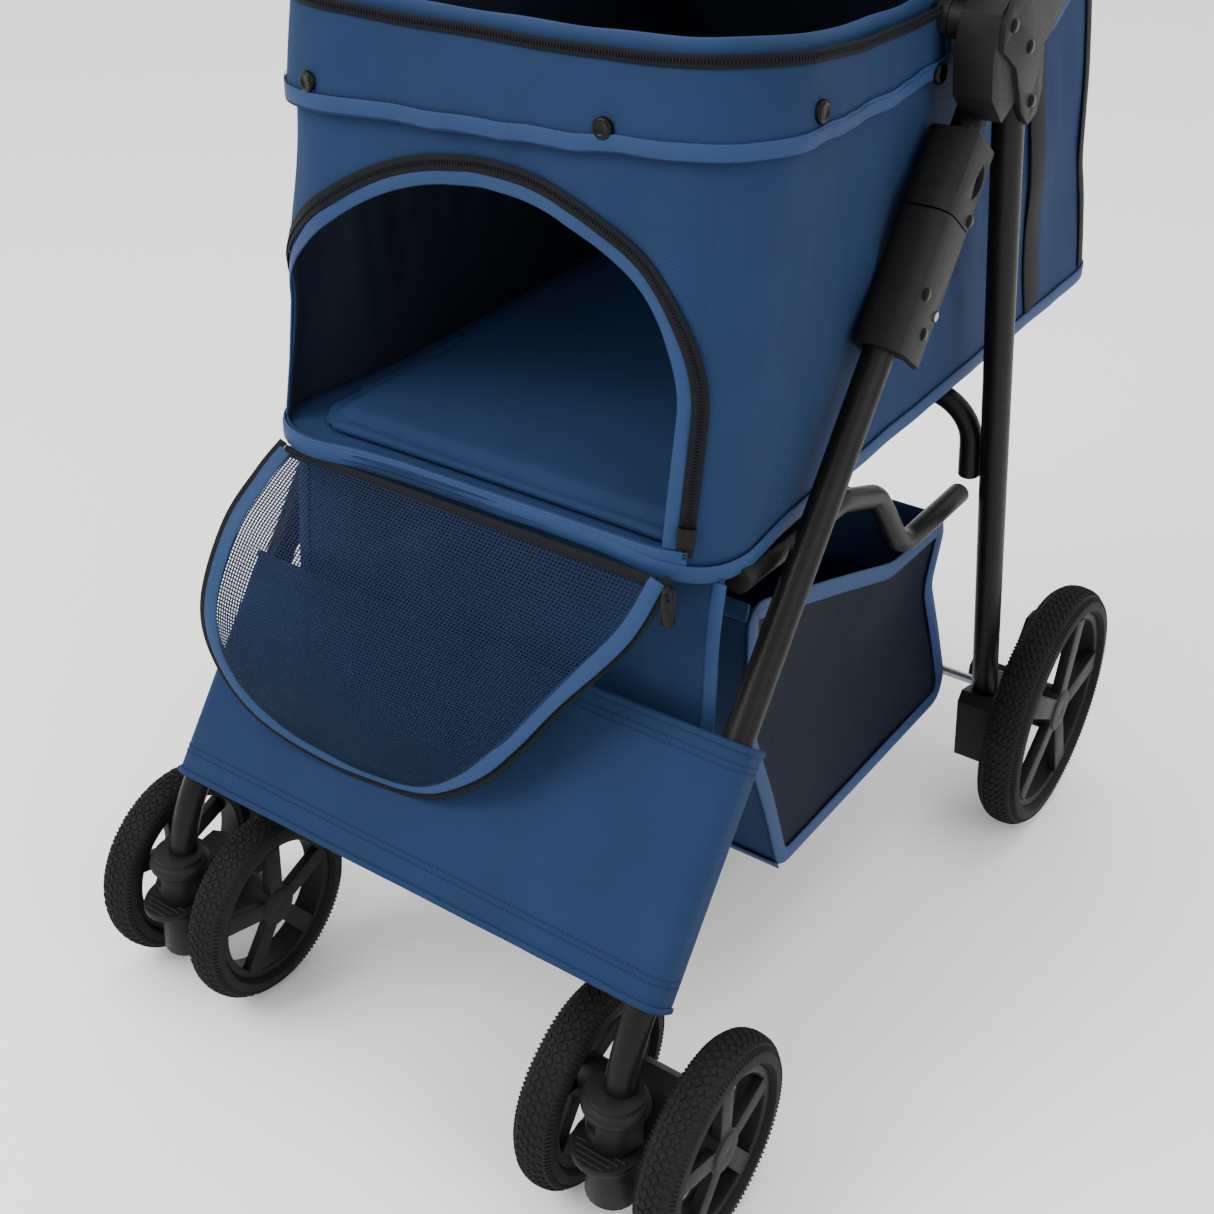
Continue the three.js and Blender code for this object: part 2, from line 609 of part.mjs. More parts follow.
// A five-spoke moulded wheel: rim band, spoke web and hub, with a blind axle bore from the inside.
function rimSolid({ width, rim, hub, web }, outward) {
  const h = width / 2;
  const bandInner = rim - 5;
  const disc = roundShape(rim - 1, WHEEL_SIDES);
  const spokes = 5;
  for (let k = 0; k < spokes; k++) disc.holes.push(spokeWindow(bandInner, hub, k, spokes));
  const plate = new THREE.ExtrudeGeometry(disc, { depth: web, bevelEnabled: false, curveSegments: 1 })
    .rotateX(-Math.PI / 2).translate(0, outward > 0 ? h - web - 4 : -h + 4, 0);
  const band = new THREE.LatheGeometry([[bandInner, -h * 0.7], [rim, -h * 0.7], [rim, h * 0.7],
    [bandInner, h * 0.7], [bandInner, -h * 0.7]].map(([r, a]) => new THREE.Vector2(r, a)), WHEEL_SIDES);
  const axial = (a, b, r, sides) => rod([0, outward * a, 0], [0, outward * b, 0], r, sides);
  return cut(join(plate, band, axial(-h + 1, h - 2, hub, 16)), axial(-h, h - 5, AXLE_R + 0.3, 12));
}

function spokeWindow(outer, hub, k, count) {
  const step = (2 * Math.PI) / count;
  const middle = (k + 0.5) * step;
  const halfSpoke = outer * 0.105;
  const inner = hub + 3;
  const a0 = step / 2 - Math.asin((halfSpoke + 1) / inner) * 0.82;
  const a1 = step / 2 - Math.asin(halfSpoke / outer);
  const points = [];
  for (let j = 0; j <= 4; j++) points.push([outer - 0.5, middle - a1 + (j / 4) * 2 * a1]);
  for (let j = 0; j <= 1; j++) points.push([inner, middle + a0 - j * 2 * a0]);
  return new THREE.Path(points.map(([r, a]) => new THREE.Vector2(r * Math.cos(a), r * Math.sin(a))).reverse());
}

function wheel(name, size, x, axle, outward) {
  addPart(`${name}_tyre`, onAxle(tyre(size), x, axle), tyreRubber);
  addPart(`${name}_hub`, onAxle(rimSolid(size, outward), x, axle), blackPlastic);
}

// ---- lock sliders -----------------------------------------------------------------------------------

function lockSlider(side) {
  const half = CASING_WIDTH / 2;
  const from = CASING_TO + 1;
  const body = legPrism(roundedOutline(-half, -13, half, PIVOT_OFFSET + 10, 11), side, from, SLIDER_TO);
  const collar = legPrism(roundedOutline(-half + 0.1, -15, half, PIVOT_OFFSET + 13, 12), side, from, from + 12);
  const lens = [];
  for (let k = 0; k <= 6; k++) lens.push([from + 16 + k * 4, 14 + 9 * Math.sin((k / 6) * Math.PI)]);
  const lensPoints = lens.map(([s, n]) => onLeg(0, s, n).slice(1));
  const back = [onLeg(0, from + 28, 10).slice(1)];
  const x = side * LEG_X;
  const [x0, x1] = [x + side * 9, x + side * 24].sort((a, b) => a - b);
  const window = sidePlate([...lensPoints, ...back].reverse(), x0, x1);
  return cut(join(body, collar), window,
    upperTubeTo(side, UPPER_END, TUBE_R + GAP));
}

// ---- assembly ---------------------------------------------------------------------------------------

for (const [hand, side] of SIDES) {
  const x = side * LEG_X;
  addPart(`front_leg_${hand}`, frontLegTube(side, TUBE_R, TUBE_WALL), blackTube);
  addPart(`leg_casing_${hand}`, legCasing(side), blackPlastic);
  addPart(`caster_socket_${hand}`, casterSocket(side), blackPlastic);
  addPart(`fold_pivot_pin_${hand}`, crossRod(x - 18, x + 18, FOLD_PIVOT, PIN_R, 10), steel);
  addPart(`upper_tube_${hand}`, upperTube(side), blackTube);
  addPart(`knuckle_${hand}`, knuckle(side), blackPlastic);
  addPart(`hinge_bracket_${hand}`, hingeBracket(side), steel);
  addPart(`lock_slider_${hand}`, lockSlider(side), blackPlastic);
  addPart(`rear_leg_${hand}`, rearLeg(side), blackTube);
  addPart(`axle_housing_${hand}`, axleHousing(side), blackPlastic);
  addPart(`brake_pedal_${hand}`, brakePedal(side), blackPlastic);
  addPart(`seat_rail_${hand}`, seatRail(side), blackTube);
  addPart(`caster_fork_${hand}`, casterFork(side), blackPlastic);
  addPart(`swivel_lock_${hand}`, swivelLock(side), blackPlastic);
  wheel(`front_outer_wheel_${hand}`, FRONT_WHEEL, x + side * FRONT_TRACK, [0, 75], side);
  wheel(`front_inner_wheel_${hand}`, FRONT_WHEEL, x - side * FRONT_TRACK, [0, 75], -side);
  wheel(`rear_wheel_${hand}`, REAR_WHEEL, side * REAR_WHEEL_X, REAR_AXLE, side);
}

addPart('front_cross_tube', frontCrossTube(), blackTube);
addPart('handle_tube', handleTube(TUBE_R, TUBE_WALL), blackTube);
addPart('handle_grip', handleGrip(), gripFoam);
addPart('cup_tray', cupTray(), blackPlastic);
addPart('front_canopy_bow', canopyBow(FRONT_BOW), blackPlastic);
addPart('rear_canopy_bow', canopyBow(REAR_BOW), blackPlastic);
addPart('rear_bow', rearBow(), blackTube);
addPart('rear_axle', rearAxle(), steel);
addPart('rail_cross_tube', railCrossTube(), blackTube);
// The rear bow passes between the two floor panels as the frame folds.
addPart('floor_board_front', floorSheet(78, 388, 0.5, 3, 158), hardboard);
addPart('floor_board_rear', floorSheet(443, 676, 0.5, 3, 158), hardboard);
addPart('floor_mat', floorSheet(80, 672, 4, 10, 157), navyFabric);
addPart('cabin', cabin(), navyFabric);
addPart('canopy_front', canopyFront(), navyFabric);
addPart('canopy_rear', canopyRear(), navyFabric);
addPart('apron', apron(), navyFabric);
addPart('front_panel', frontPanel(), navyFabric);
addPart('basket', basket(), navyMesh);
addPart('door_flap', doorFlap(), navyMesh);
addPart('zip_pull', zipPull(), blackPlastic);

stroller.position.y = -CENTRE_Y;

export default stroller;
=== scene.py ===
import json
import math

import bmesh
import bpy
from mathutils import Matrix, Vector, noise


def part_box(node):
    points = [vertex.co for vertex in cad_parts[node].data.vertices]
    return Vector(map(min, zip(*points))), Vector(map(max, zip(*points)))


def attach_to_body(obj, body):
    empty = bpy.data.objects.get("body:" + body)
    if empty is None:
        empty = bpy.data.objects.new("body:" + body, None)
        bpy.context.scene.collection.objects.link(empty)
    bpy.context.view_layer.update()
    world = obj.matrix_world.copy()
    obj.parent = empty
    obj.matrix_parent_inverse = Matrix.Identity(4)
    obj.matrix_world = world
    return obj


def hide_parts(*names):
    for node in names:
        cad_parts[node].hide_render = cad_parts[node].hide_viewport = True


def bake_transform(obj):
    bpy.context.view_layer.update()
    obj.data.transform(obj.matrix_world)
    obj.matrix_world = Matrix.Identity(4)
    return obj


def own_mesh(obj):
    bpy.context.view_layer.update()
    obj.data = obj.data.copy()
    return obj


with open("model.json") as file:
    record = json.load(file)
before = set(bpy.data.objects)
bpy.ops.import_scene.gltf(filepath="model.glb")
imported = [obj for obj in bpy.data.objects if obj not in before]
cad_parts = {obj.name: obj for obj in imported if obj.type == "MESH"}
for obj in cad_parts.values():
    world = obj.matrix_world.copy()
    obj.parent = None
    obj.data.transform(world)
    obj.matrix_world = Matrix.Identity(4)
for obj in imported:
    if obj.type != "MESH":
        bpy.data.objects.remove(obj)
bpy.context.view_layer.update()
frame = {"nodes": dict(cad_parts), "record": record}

# ---- camera ------------------------------------------------------------------------------------
# A lens of about 51 mm at chest height, in front of the stroller and to the pusher's left, turned
# down onto it, with a little sideways shift and almost no roll.

lens_shift = (0.1259, -0.0773)
level_right = Vector((0.7895, 0.6137, 0.0))
level_up = Vector((-0.2904, 0.3736, 0.8809))
camera_roll = math.radians(-0.52)

camera_data = bpy.data.cameras.new("camera")
camera_data.lens = 51.4
camera_data.sensor_width = 36.0
camera_data.shift_x, camera_data.shift_y = lens_shift
camera = bpy.data.objects.new("camera", camera_data)
right = math.cos(camera_roll) * level_right + math.sin(camera_roll) * level_up
up = math.cos(camera_roll) * level_up - math.sin(camera_roll) * level_right
turn = Matrix((right, up, right.cross(up))).transposed()
camera.matrix_world = Matrix.Translation((0.5795, -1.0094, 0.9348)) @ turn.to_4x4()
bpy.context.scene.collection.objects.link(camera)
bpy.context.scene.camera = camera

# ---- front legs, upper tubes and cross tube ------------------------------------------------------
# Round mild steel tube, 20 mm outside, cut, bent on a former and powder coated satin black. The legs
# run from the caster sockets up into the moulded casings; the upper tubes carry the push handle.

SIDES = (("left", 1), ("right", -1))
wheel_low, wheel_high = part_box("front_outer_wheel_left_tyre")
AXLE_Y = (wheel_low[1] + wheel_high[1]) / 2
body_of = {node: body for body, members in frame["record"]["behaviour"]["bodies"].items()
           for node in members}


def at(x, y, z):
    """A point of the drawing, in metres."""
    return Vector((x / 1000, AXLE_Y + y / 1000, z / 1000))


def linear(colour):
    """An sRGB hex colour as a linear colour with full alpha."""
    parts = [int(colour[i:i + 2], 16) / 255 for i in (1, 3, 5)]
    return [p / 12.92 if p <= 0.04045 else ((p + 0.055) / 1.055) ** 2.4 for p in parts] + [1.0]


def add_node(tree, kind, inputs=None, **settings):
    """One node with its settings; an input that is another node's socket is linked."""
    made = tree.nodes.new(kind)
    for key, value in settings.items():
        setattr(made, key, value)
    for key, value in (inputs or {}).items():
        if isinstance(value, bpy.types.NodeSocket):
            tree.links.new(value, made.inputs[key])
        else:
            made.inputs[key].default_value = value
    return made


def start_material(name, **shader_values):
    """A material with its Principled shader set; returns it, its tree and the shader."""
    material = bpy.data.materials.new(name)
    material.use_nodes = True
    tree = material.node_tree
    shader = tree.nodes["Principled BSDF"]
    for key, value in shader_values.items():
        shader.inputs[key.replace("_", " ")].default_value = value
    return material, tree, shader


def two_tones(tree, factor, dark, light):
    """The colour between two hex colours at a factor."""
    mix = add_node(tree, "ShaderNodeMix", {"Factor": factor}, data_type="RGBA")
    for key, value in (("A", dark), ("B", light)):
        socket = next(s for s in mix.inputs if s.name == key and s.type == "RGBA")
        socket.default_value = linear(value)
    return next(s for s in mix.outputs if s.type == "RGBA")


def grained(name, dark, light, grain, bump, roughness=0.5, spread=0.12, shine=0.12, **shader_values):
    """A solid-coloured material with a fine grain: grain and bump are in millimetres."""
    material, tree, shader = start_material(name, Specular_IOR_Level=shine, **shader_values)
    place = add_node(tree, "ShaderNodeTexCoord").outputs["Object"]
    fine = add_node(tree, "ShaderNodeTexNoise", {"Vector": place, "Scale": 1000 / grain, "Detail": 3.0})
    broad = add_node(tree, "ShaderNodeTexNoise", {"Vector": place, "Scale": 1000 / 45, "Detail": 4.0})
    tree.links.new(two_tones(tree, broad.outputs["Fac"], dark, light), shader.inputs["Base Color"])
    gloss = add_node(tree, "ShaderNodeMapRange", {
        "Value": fine.outputs["Fac"], "From Min": 0.3, "From Max": 0.7,
        "To Min": roughness - spread, "To Max": roughness + spread})
    tree.links.new(gloss.outputs["Result"], shader.inputs["Roughness"])
    relief = add_node(tree, "ShaderNodeBump", {
        "Height": fine.outputs["Fac"], "Distance": bump / 1000, "Strength": 1.0})
    tree.links.new(relief.outputs["Normal"], shader.inputs["Normal"])
    return material


# Powder coat flows as it cures, so it is satin with a faint orange peel about 1.5 mm across.
powder_coat = grained("satin_black_powder_coat", "#0c0c0c", "#121212", 1.5, 0.03, roughness=0.38)


def bent_route(corners, bend=0, steps=10):
    """Points along straight runs joined by round bends; bend is the radius in millimetres."""
    corners = [Vector(corner) for corner in corners]
    points = [corners[0]]
    for before, corner, after in zip(corners, corners[1:], corners[2:]):
        arriving, leaving = (corner - before).normalized(), (after - corner).normalized()
        angle = arriving.angle(leaving)
        start = corner - arriving * (bend / 1000) * math.tan(angle / 2)
        axis = arriving.cross(leaving).normalized()
        centre = start + axis.cross(arriving) * (bend / 1000)
        for k in range(steps + 1):
            points.append(centre + Matrix.Rotation(angle * k / steps, 3, axis) @ (start - centre))
    return points + [corners[-1]]


def path_frames(points, outward=None, closed=False):
    """The tangent, sideways and outward directions at each point of a path."""
    count = len(points)
    frames = []
    normal = None
    for i, point in enumerate(points):
        ahead = points[(i + 1) % count] if closed or i + 1 < count else point
        behind = points[i - 1] if closed or i > 0 else point
        tangent = (ahead - behind).normalized()
        if outward is not None:
            normal = Vector(outward[i])
        elif normal is None:
            normal = tangent.orthogonal()
        normal = (normal - tangent * normal.dot(tangent)).normalized()
        frames.append((tangent, normal.cross(tangent), normal))
    return frames


def swept_mesh(points, section, outward=None, closed=False):
    """A closed mesh: a section of (sideways, outward) millimetres carried along a path.
    Its UV map holds metres along the path and round the section."""
    mesh = bmesh.new()
    uv = mesh.loops.layers.uv.new("cloth")
    rings = []
    for point, (_, side, normal) in zip(points, path_frames(points, outward, closed)):
        rings.append([mesh.verts.new(point + side * (a / 1000) + normal * (b / 1000)) for a, b in section])
    along = [0.0]
    for a, b in zip(points, points[1:] + points[:1]):
        along.append(along[-1] + (b - a).length)
    count = len(section)
    around = [0.0]
    for k in range(count):
        around.append(around[-1] + (Vector(section[(k + 1) % count]) - Vector(section[k])).length / 1000)
    for i in range(len(rings) if closed else len(rings) - 1):
        here, there = rings[i], rings[(i + 1) % len(rings)]
        for k in range(count):
            j = (k + 1) % count
            face = mesh.faces.new((here[k], here[j], there[j], there[k]))
            corners = ((along[i], around[k]), (along[i], around[k + 1]),
                       (along[i + 1], around[k + 1]), (along[i + 1], around[k]))
            for loop, place in zip(face.loops, corners):
                loop[uv].uv = place
    if not closed:
        mesh.faces.new(rings[0][::-1])
        mesh.faces.new(rings[-1])
    bmesh.ops.recalc_face_normals(mesh, faces=mesh.faces)
    return mesh


def round_section(radius, sides=24):
    return [(radius * math.cos(2 * math.pi * k / sides), radius * math.sin(2 * math.pi * k / sides))
            for k in range(sides)]


def new_object(name, mesh, material, smooth=40):
    """An object from a bmesh, shaded smooth except across edges sharper than smooth degrees."""
    data = bpy.data.meshes.new(name)
    mesh.to_mesh(data)
    mesh.free()
    data.shade_smooth()
    data.set_sharp_from_angle(angle=math.radians(smooth))
    data.materials.append(material)
    made = bpy.data.objects.new(name, data)
    bpy.context.scene.collection.objects.link(made)
    return made


def belongs(piece, body, slot, *nodes):
    """The piece moves with a body and stands for the nodes; slot is not used."""
    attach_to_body(piece, body)
    if nodes:
        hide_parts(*nodes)
    return piece


def tube_piece(node, corners, radius, bend=0, suffix="bar"):
    """A powder-coated tube that stands for the CAD tube of the same route."""
    mesh = swept_mesh(bent_route(corners, bend), round_section(radius))
    piece = new_object(f"{node}_{suffix}", mesh, powder_coat)
    return belongs(piece, body_of[node], "black_tube", node)


LEG_LEAN = 0.695
LEG_START = (80, 316)
LEG_X = 188
TUBE_RADIUS = 10
LEG_DIRECTION = Vector((0, LEG_LEAN, 1)).normalized()
LEG_BEHIND = Vector((0, LEG_DIRECTION.z, -LEG_DIRECTION.y))
PIVOT_HEIGHT = 550


def leg_y(z):
    return LEG_START[0] + (z - LEG_START[1]) * LEG_LEAN


def on_leg(x, along, behind=0):
    """A point along the leg from the fold pivot's station, and square behind the leg's axis."""
    base = at(x, leg_y(PIVOT_HEIGHT), PIVOT_HEIGHT)
    return base + LEG_DIRECTION * (along / 1000) + LEG_BEHIND * (behind / 1000)


for hand, side in SIDES:
    x = side * LEG_X
    tube_piece(f"front_leg_{hand}", [at(x, -40.5, 107), at(x, leg_y(150), 150), on_leg(x, -6)],
               TUBE_RADIUS, 120)
    tube_piece(f"upper_tube_{hand}", [on_leg(x, 2, 10), on_leg(x, 170, 10)], TUBE_RADIUS)
cross_reach = LEG_X - TUBE_RADIUS - 1
tube_piece("front_cross_tube",
           [at(-cross_reach, leg_y(232) - 1, 232), at(cross_reach, leg_y(232) - 1, 232)], 7)

# ---- push handle, grip and cup tray ----------------------------------------------------------------
# One more bent tube makes the handle. Its middle wears a sleeve of closed-cell foam pushed on with
# soapy water, and a moulded tray with two cup holders is clipped between the two rising tubes.

HANDLE_LINE = 330
GRIP_Y = 620
handle_corners = [at(LEG_X, 366, 366 + HANDLE_LINE), at(LEG_X, GRIP_Y, GRIP_Y + HANDLE_LINE),
                  at(-LEG_X, GRIP_Y, GRIP_Y + HANDLE_LINE), at(-LEG_X, 366, 366 + HANDLE_LINE)]
tube_piece("handle_tube", handle_corners, TUBE_RADIUS, 55)

# Foam rubber is matt and slightly open, with pores about 1 mm across.
foam = grained("closed_cell_foam_rubber", "#0c0c0d", "#131314", 1.0, 0.12, roughness=0.86, spread=0.06)
grip_reach, grip_radius, grip_round = 122, 16, 5
grip_profile = [(-grip_reach, 10.4), (-grip_reach, grip_radius - grip_round)]
for k in range(7):
    bow = math.pi / 2 * k / 6
    grip_profile.append((-grip_reach + grip_round * (1 - math.cos(bow)),
                         grip_radius - grip_round + grip_round * math.sin(bow)))
grip_profile += [(-x, r) for x, r in reversed(grip_profile)]


def turned_mesh(profile, centre, segments=48, axis="x"):
    """A closed ring turned round an axis through centre from (along, radius) millimetres."""
    mesh = bmesh.new()
    rings = []
    for k in range(segments):
        a = 2 * math.pi * k / segments
        ring = []
        for along, radius in profile:
            u, v = radius * math.cos(a) / 1000, radius * math.sin(a) / 1000
            offset = Vector((along / 1000, u, v)) if axis == "x" else Vector((u, v, along / 1000))
            ring.append(mesh.verts.new(centre + offset))
        rings.append(ring)
    count = len(profile)
    for k in range(segments):
        here, there = rings[k], rings[(k + 1) % segments]
        for i in range(count):
            j = (i + 1) % count
            mesh.faces.new((here[i], here[j], there[j], there[i]))
    bmesh.ops.remove_doubles(mesh, verts=mesh.verts, dist=1e-6)
    bmesh.ops.dissolve_degenerate(mesh, edges=mesh.edges, dist=1e-7)
    bmesh.ops.recalc_face_normals(mesh, faces=mesh.faces)
    return mesh


grip = new_object("foam_grip", turned_mesh(grip_profile, at(0, GRIP_Y, GRIP_Y + HANDLE_LINE)), foam)
belongs(grip, "push_frame", "grip_foam", "handle_grip")

# Injection-moulded nylon leaves a spark-eroded tool with a fine matt grain of about 0.6 mm.
nylon = grained("moulded_black_nylon", "#101010", "#181818", 0.6, 0.05, roughness=0.52)


def finished(node, material, slot, edge=0.8, corner=30):
    """A moulding or casting: the CAD part's own shape with its edges rounded over."""
    mesh = bmesh.new()
    mesh.from_mesh(frame["nodes"][node].data)
    bmesh.ops.remove_doubles(mesh, verts=mesh.verts, dist=2e-5)
    bmesh.ops.dissolve_limit(mesh, angle_limit=math.radians(1), verts=mesh.verts, edges=mesh.edges)
    for layer in list(mesh.loops.layers.float_vector.values()):
        mesh.loops.layers.float_vector.remove(layer)
    piece = new_object(f"{node}_moulding", mesh, material)
    rounding = piece.modifiers.new("rounding", "BEVEL")
    rounding.width = edge / 1000
    rounding.segments = 2
    rounding.limit_method = "ANGLE"
    rounding.angle_limit = math.radians(corner)
    settle(piece)
    piece.data.shade_smooth()
    piece.data.set_sharp_from_angle(angle=math.radians(50))
    return belongs(piece, body_of[node], slot, node)


def settle(piece):
    """Turns a piece's modifiers into plain mesh."""
    ready = piece.evaluated_get(bpy.context.evaluated_depsgraph_get())
    plain = bpy.data.meshes.new_from_object(ready)
    piece.modifiers.clear()
    piece.data = plain


finished("cup_tray", nylon, "black_plastic", edge=1.5)

# ---- leg casings, lock sliders and knuckles ----------------------------------------------------------
# Two-part nylon mouldings, riveted over the tubes. The casing holds the fold pivot, the slider above
# it locks the joint, and the knuckle joins the upper tube, the handle, the rear leg and the hood.

for hand, side in SIDES:
    finished(f"leg_casing_{hand}", nylon, "black_plastic", edge=1.6)
    finished(f"lock_slider_{hand}", nylon, "black_plastic", edge=1.2)
    finished(f"knuckle_{hand}", nylon, "black_plastic", edge=1.2)

# Zinc plate on steel is a bright, slightly blue grey with fine drawing marks.
zinc = grained("zinc_plated_steel", "#8d9094", "#a6a9ad", 0.5, 0.01, roughness=0.34, shine=0.5, Metallic=1.0)
for hand, _ in SIDES:
    finished(f"hinge_bracket_{hand}", zinc, "plated_steel", edge=0.6)


def rod_piece(name, start, end, radius, material, slot, *nodes):
    piece = new_object(name, swept_mesh([start, end], round_section(radius, 20)), material)
    return belongs(piece, body_of[nodes[0]], slot, *nodes)


pivot_point = on_leg(0, 0, 24)
for hand, side in SIDES:
    reach = Vector((0.018, 0, 0))
    middle = pivot_point + Vector((side * LEG_X / 1000, 0, 0))
    rod_piece(f"fold_pivot_rivet_{hand}", middle - reach, middle + reach, 3, zinc, "plated_steel",
              f"fold_pivot_pin_{hand}")


def repeat_tree(name, along_path):
    """Geometry Nodes that set a small piece at every point, or at an even spacing along a path."""
    tree = bpy.data.node_groups.new(name, "GeometryNodeTree")
    for label, kind in (("Geometry", "NodeSocketGeometry"), ("Piece", "NodeSocketObject"),
                        ("Spacing", "NodeSocketFloat"), ("Finish", "NodeSocketMaterial")):
        tree.interface.new_socket(label, in_out="INPUT", socket_type=kind)
    tree.interface.new_socket("Geometry", in_out="OUTPUT", socket_type="NodeSocketGeometry")
    given = add_node(tree, "NodeGroupInput").outputs
    if along_path:
        curve = add_node(tree, "GeometryNodeMeshToCurve", {"Mesh": given["Geometry"]})
        spaced = add_node(tree, "GeometryNodeResampleCurve", {
            "Curve": curve.outputs["Curve"], "Length": given["Spacing"]}, mode="LENGTH")
        points = spaced.outputs["Curve"]
        forward = add_node(tree, "GeometryNodeInputTangent").outputs["Tangent"]
    else:
        points = add_node(tree, "GeometryNodeMeshToPoints", {"Mesh": given["Geometry"]}).outputs["Points"]
        forward = add_node(tree, "GeometryNodeInputNamedAttribute", {"Name": "forward"},
                           data_type="FLOAT_VECTOR").outputs["Attribute"]
    outward = add_node(tree, "GeometryNodeInputNamedAttribute", {"Name": "outward"},
                       data_type="FLOAT_VECTOR").outputs["Attribute"]
    lengthways = add_node(tree, "FunctionNodeAlignRotationToVector", {"Vector": forward}, axis="X")
    upright = add_node(tree, "FunctionNodeAlignRotationToVector", {
        "Rotation": lengthways.outputs["Rotation"], "Vector": outward}, axis="Z", pivot_axis="X")
    small = add_node(tree, "GeometryNodeObjectInfo", {"Object": given["Piece"]})
    set_out = add_node(tree, "GeometryNodeInstanceOnPoints", {
        "Points": points, "Instance": small.outputs["Geometry"], "Rotation": upright.outputs["Rotation"]})
    real = add_node(tree, "GeometryNodeRealizeInstances", {"Geometry": set_out.outputs["Instances"]})
    painted = add_node(tree, "GeometryNodeSetMaterial", {
        "Geometry": real.outputs["Geometry"], "Material": given["Finish"]})
    add_node(tree, "NodeGroupOutput", {"Geometry": painted.outputs["Geometry"]})
    return tree


set_at_points = repeat_tree("set_at_points", along_path=False)
set_along_path = repeat_tree("set_along_path", along_path=True)


def repeated(name, paths, small, finish, spacing=None, closed=False):
    """Sets a small piece along paths of (point, outward) pairs, or at (point, outward, forward) places."""
    tree = set_along_path if spacing else set_at_points
    data = bpy.data.meshes.new(name)
    points, edges, outs, forwards = [], [], [], []
    for path in paths:
        first = len(points)
        points += [place[0] for place in path]
        outs += [place[1] for place in path]
        forwards += [place[2] if len(place) > 2 else Vector((0, 0, 1)) for place in path]
        if spacing:
            edges += [(i, i + 1) for i in range(first, len(points) - 1)]
            if closed:
                edges.append((len(points) - 1, first))
    data.from_pydata(points, edges, [])
    for label, values in (("outward", outs), ("forward", forwards)):
        layer = data.attributes.new(label, "FLOAT_VECTOR", "POINT")
        layer.data.foreach_set("vector", [c for v in values for c in v])
    piece = bpy.data.objects.new(name, data)
    bpy.context.scene.collection.objects.link(piece)
    modifier = piece.modifiers.new("repeat", "NODES")
    modifier.node_group = tree
    given = {"Piece": small, "Spacing": (spacing or 1) / 1000, "Finish": finish}
    for item in tree.interface.items_tree:
        if item.in_out == "INPUT" and item.name in given:
            modifier[item.identifier] = given[item.name]
    settle(piece)
    piece.data.shade_smooth()
    return piece


def small_turned(name, profile, segments=16):
    """A template button, rivet or stitch turned about Z; it is hidden once it has been copied."""
    mesh = bmesh.new()
    rings = []
    for height, radius in profile:
        if radius == 0:
            rings.append([mesh.verts.new((0, 0, height / 1000))])
            continue
        rings.append([mesh.verts.new((radius / 1000 * math.cos(2 * math.pi * k / segments),
                                      radius / 1000 * math.sin(2 * math.pi * k / segments), height / 1000))
                      for k in range(segments)])
    for low, high in zip(rings, rings[1:]):
        for k in range(segments):
            j = (k + 1) % segments
            corners = (low[k % len(low)], low[j % len(low)], high[j % len(high)], high[k % len(high)])
            mesh.faces.new(list(dict.fromkeys(corners)))
    if len(rings[0]) > 1:
        mesh.faces.new(rings[0])
    bmesh.ops.recalc_face_normals(mesh, faces=mesh.faces)
    return new_object(name, mesh, nylon, smooth=60)


templates = []
rivet_head = small_turned("rivet_head", [(-1, 4.2), (0.5, 4.2), (1.4, 3.4), (1.9, 1.8), (2.0, 0)])
templates.append(rivet_head)
# Blackened steel rivets are smoother than the nylon round them.
black_rivet = grained("blackened_steel", "#0d0d0e", "#141415", 0.8, 0.02, roughness=0.32, Metallic=0.6)
FORWARD = Vector((0, 0, 1))
for hand, side in SIDES:
    out = Vector((side, 0, 0))
    face = side * 214.2
    plate_rivets = [(at(face, y, z), out, FORWARD) for y, z in ((349, 652), (333, 688), (302, 706))]
    piece = repeated(f"knuckle_rivets_{hand}", [plate_rivets], rivet_head, black_rivet)
    belongs(piece, "push_frame", "black_plastic")
    shell = side * (LEG_X + 17)
    shell_rivets = [(on_leg(shell, 6, -2), out, FORWARD), (on_leg(shell, -14, 16), out, FORWARD)]
    piece = repeated(f"casing_rivets_{hand}", [shell_rivets], rivet_head, black_rivet)
    belongs(piece, "front_frame", "black_plastic")
    tail_rivet = [(on_leg(shell, 62, 24), out, FORWARD)]
    piece = repeated(f"slider_rivet_{hand}", [tail_rivet], rivet_head, black_rivet)
    belongs(piece, body_of[f"lock_slider_{hand}"], "black_plastic")

# ---- casters -------------------------------------------------------------------------------------
# Each front leg ends in a nylon socket with a thick rolled collar. Under it a fork swivels on a steel
# stem and carries two wheels on one axle; the ribbed fan-shaped plate between them is the swivel lock.

SWIVEL_Y = -42


def plate_mesh(outline, low, high):
    """A flat plate of an (x, y) outline between two heights."""
    mesh = bmesh.new()
    rings = [[mesh.verts.new(at(x, y, z)) for x, y in outline] for z in (low, high)]
    mesh.faces.new(rings[0][::-1])
    mesh.faces.new(rings[1])
    for k in range(len(outline)):
        j = (k + 1) % len(outline)
        mesh.faces.new((rings[0][k], rings[0][j], rings[1][j], rings[1][k]))
    bmesh.ops.recalc_face_normals(mesh, faces=mesh.faces)
    return mesh


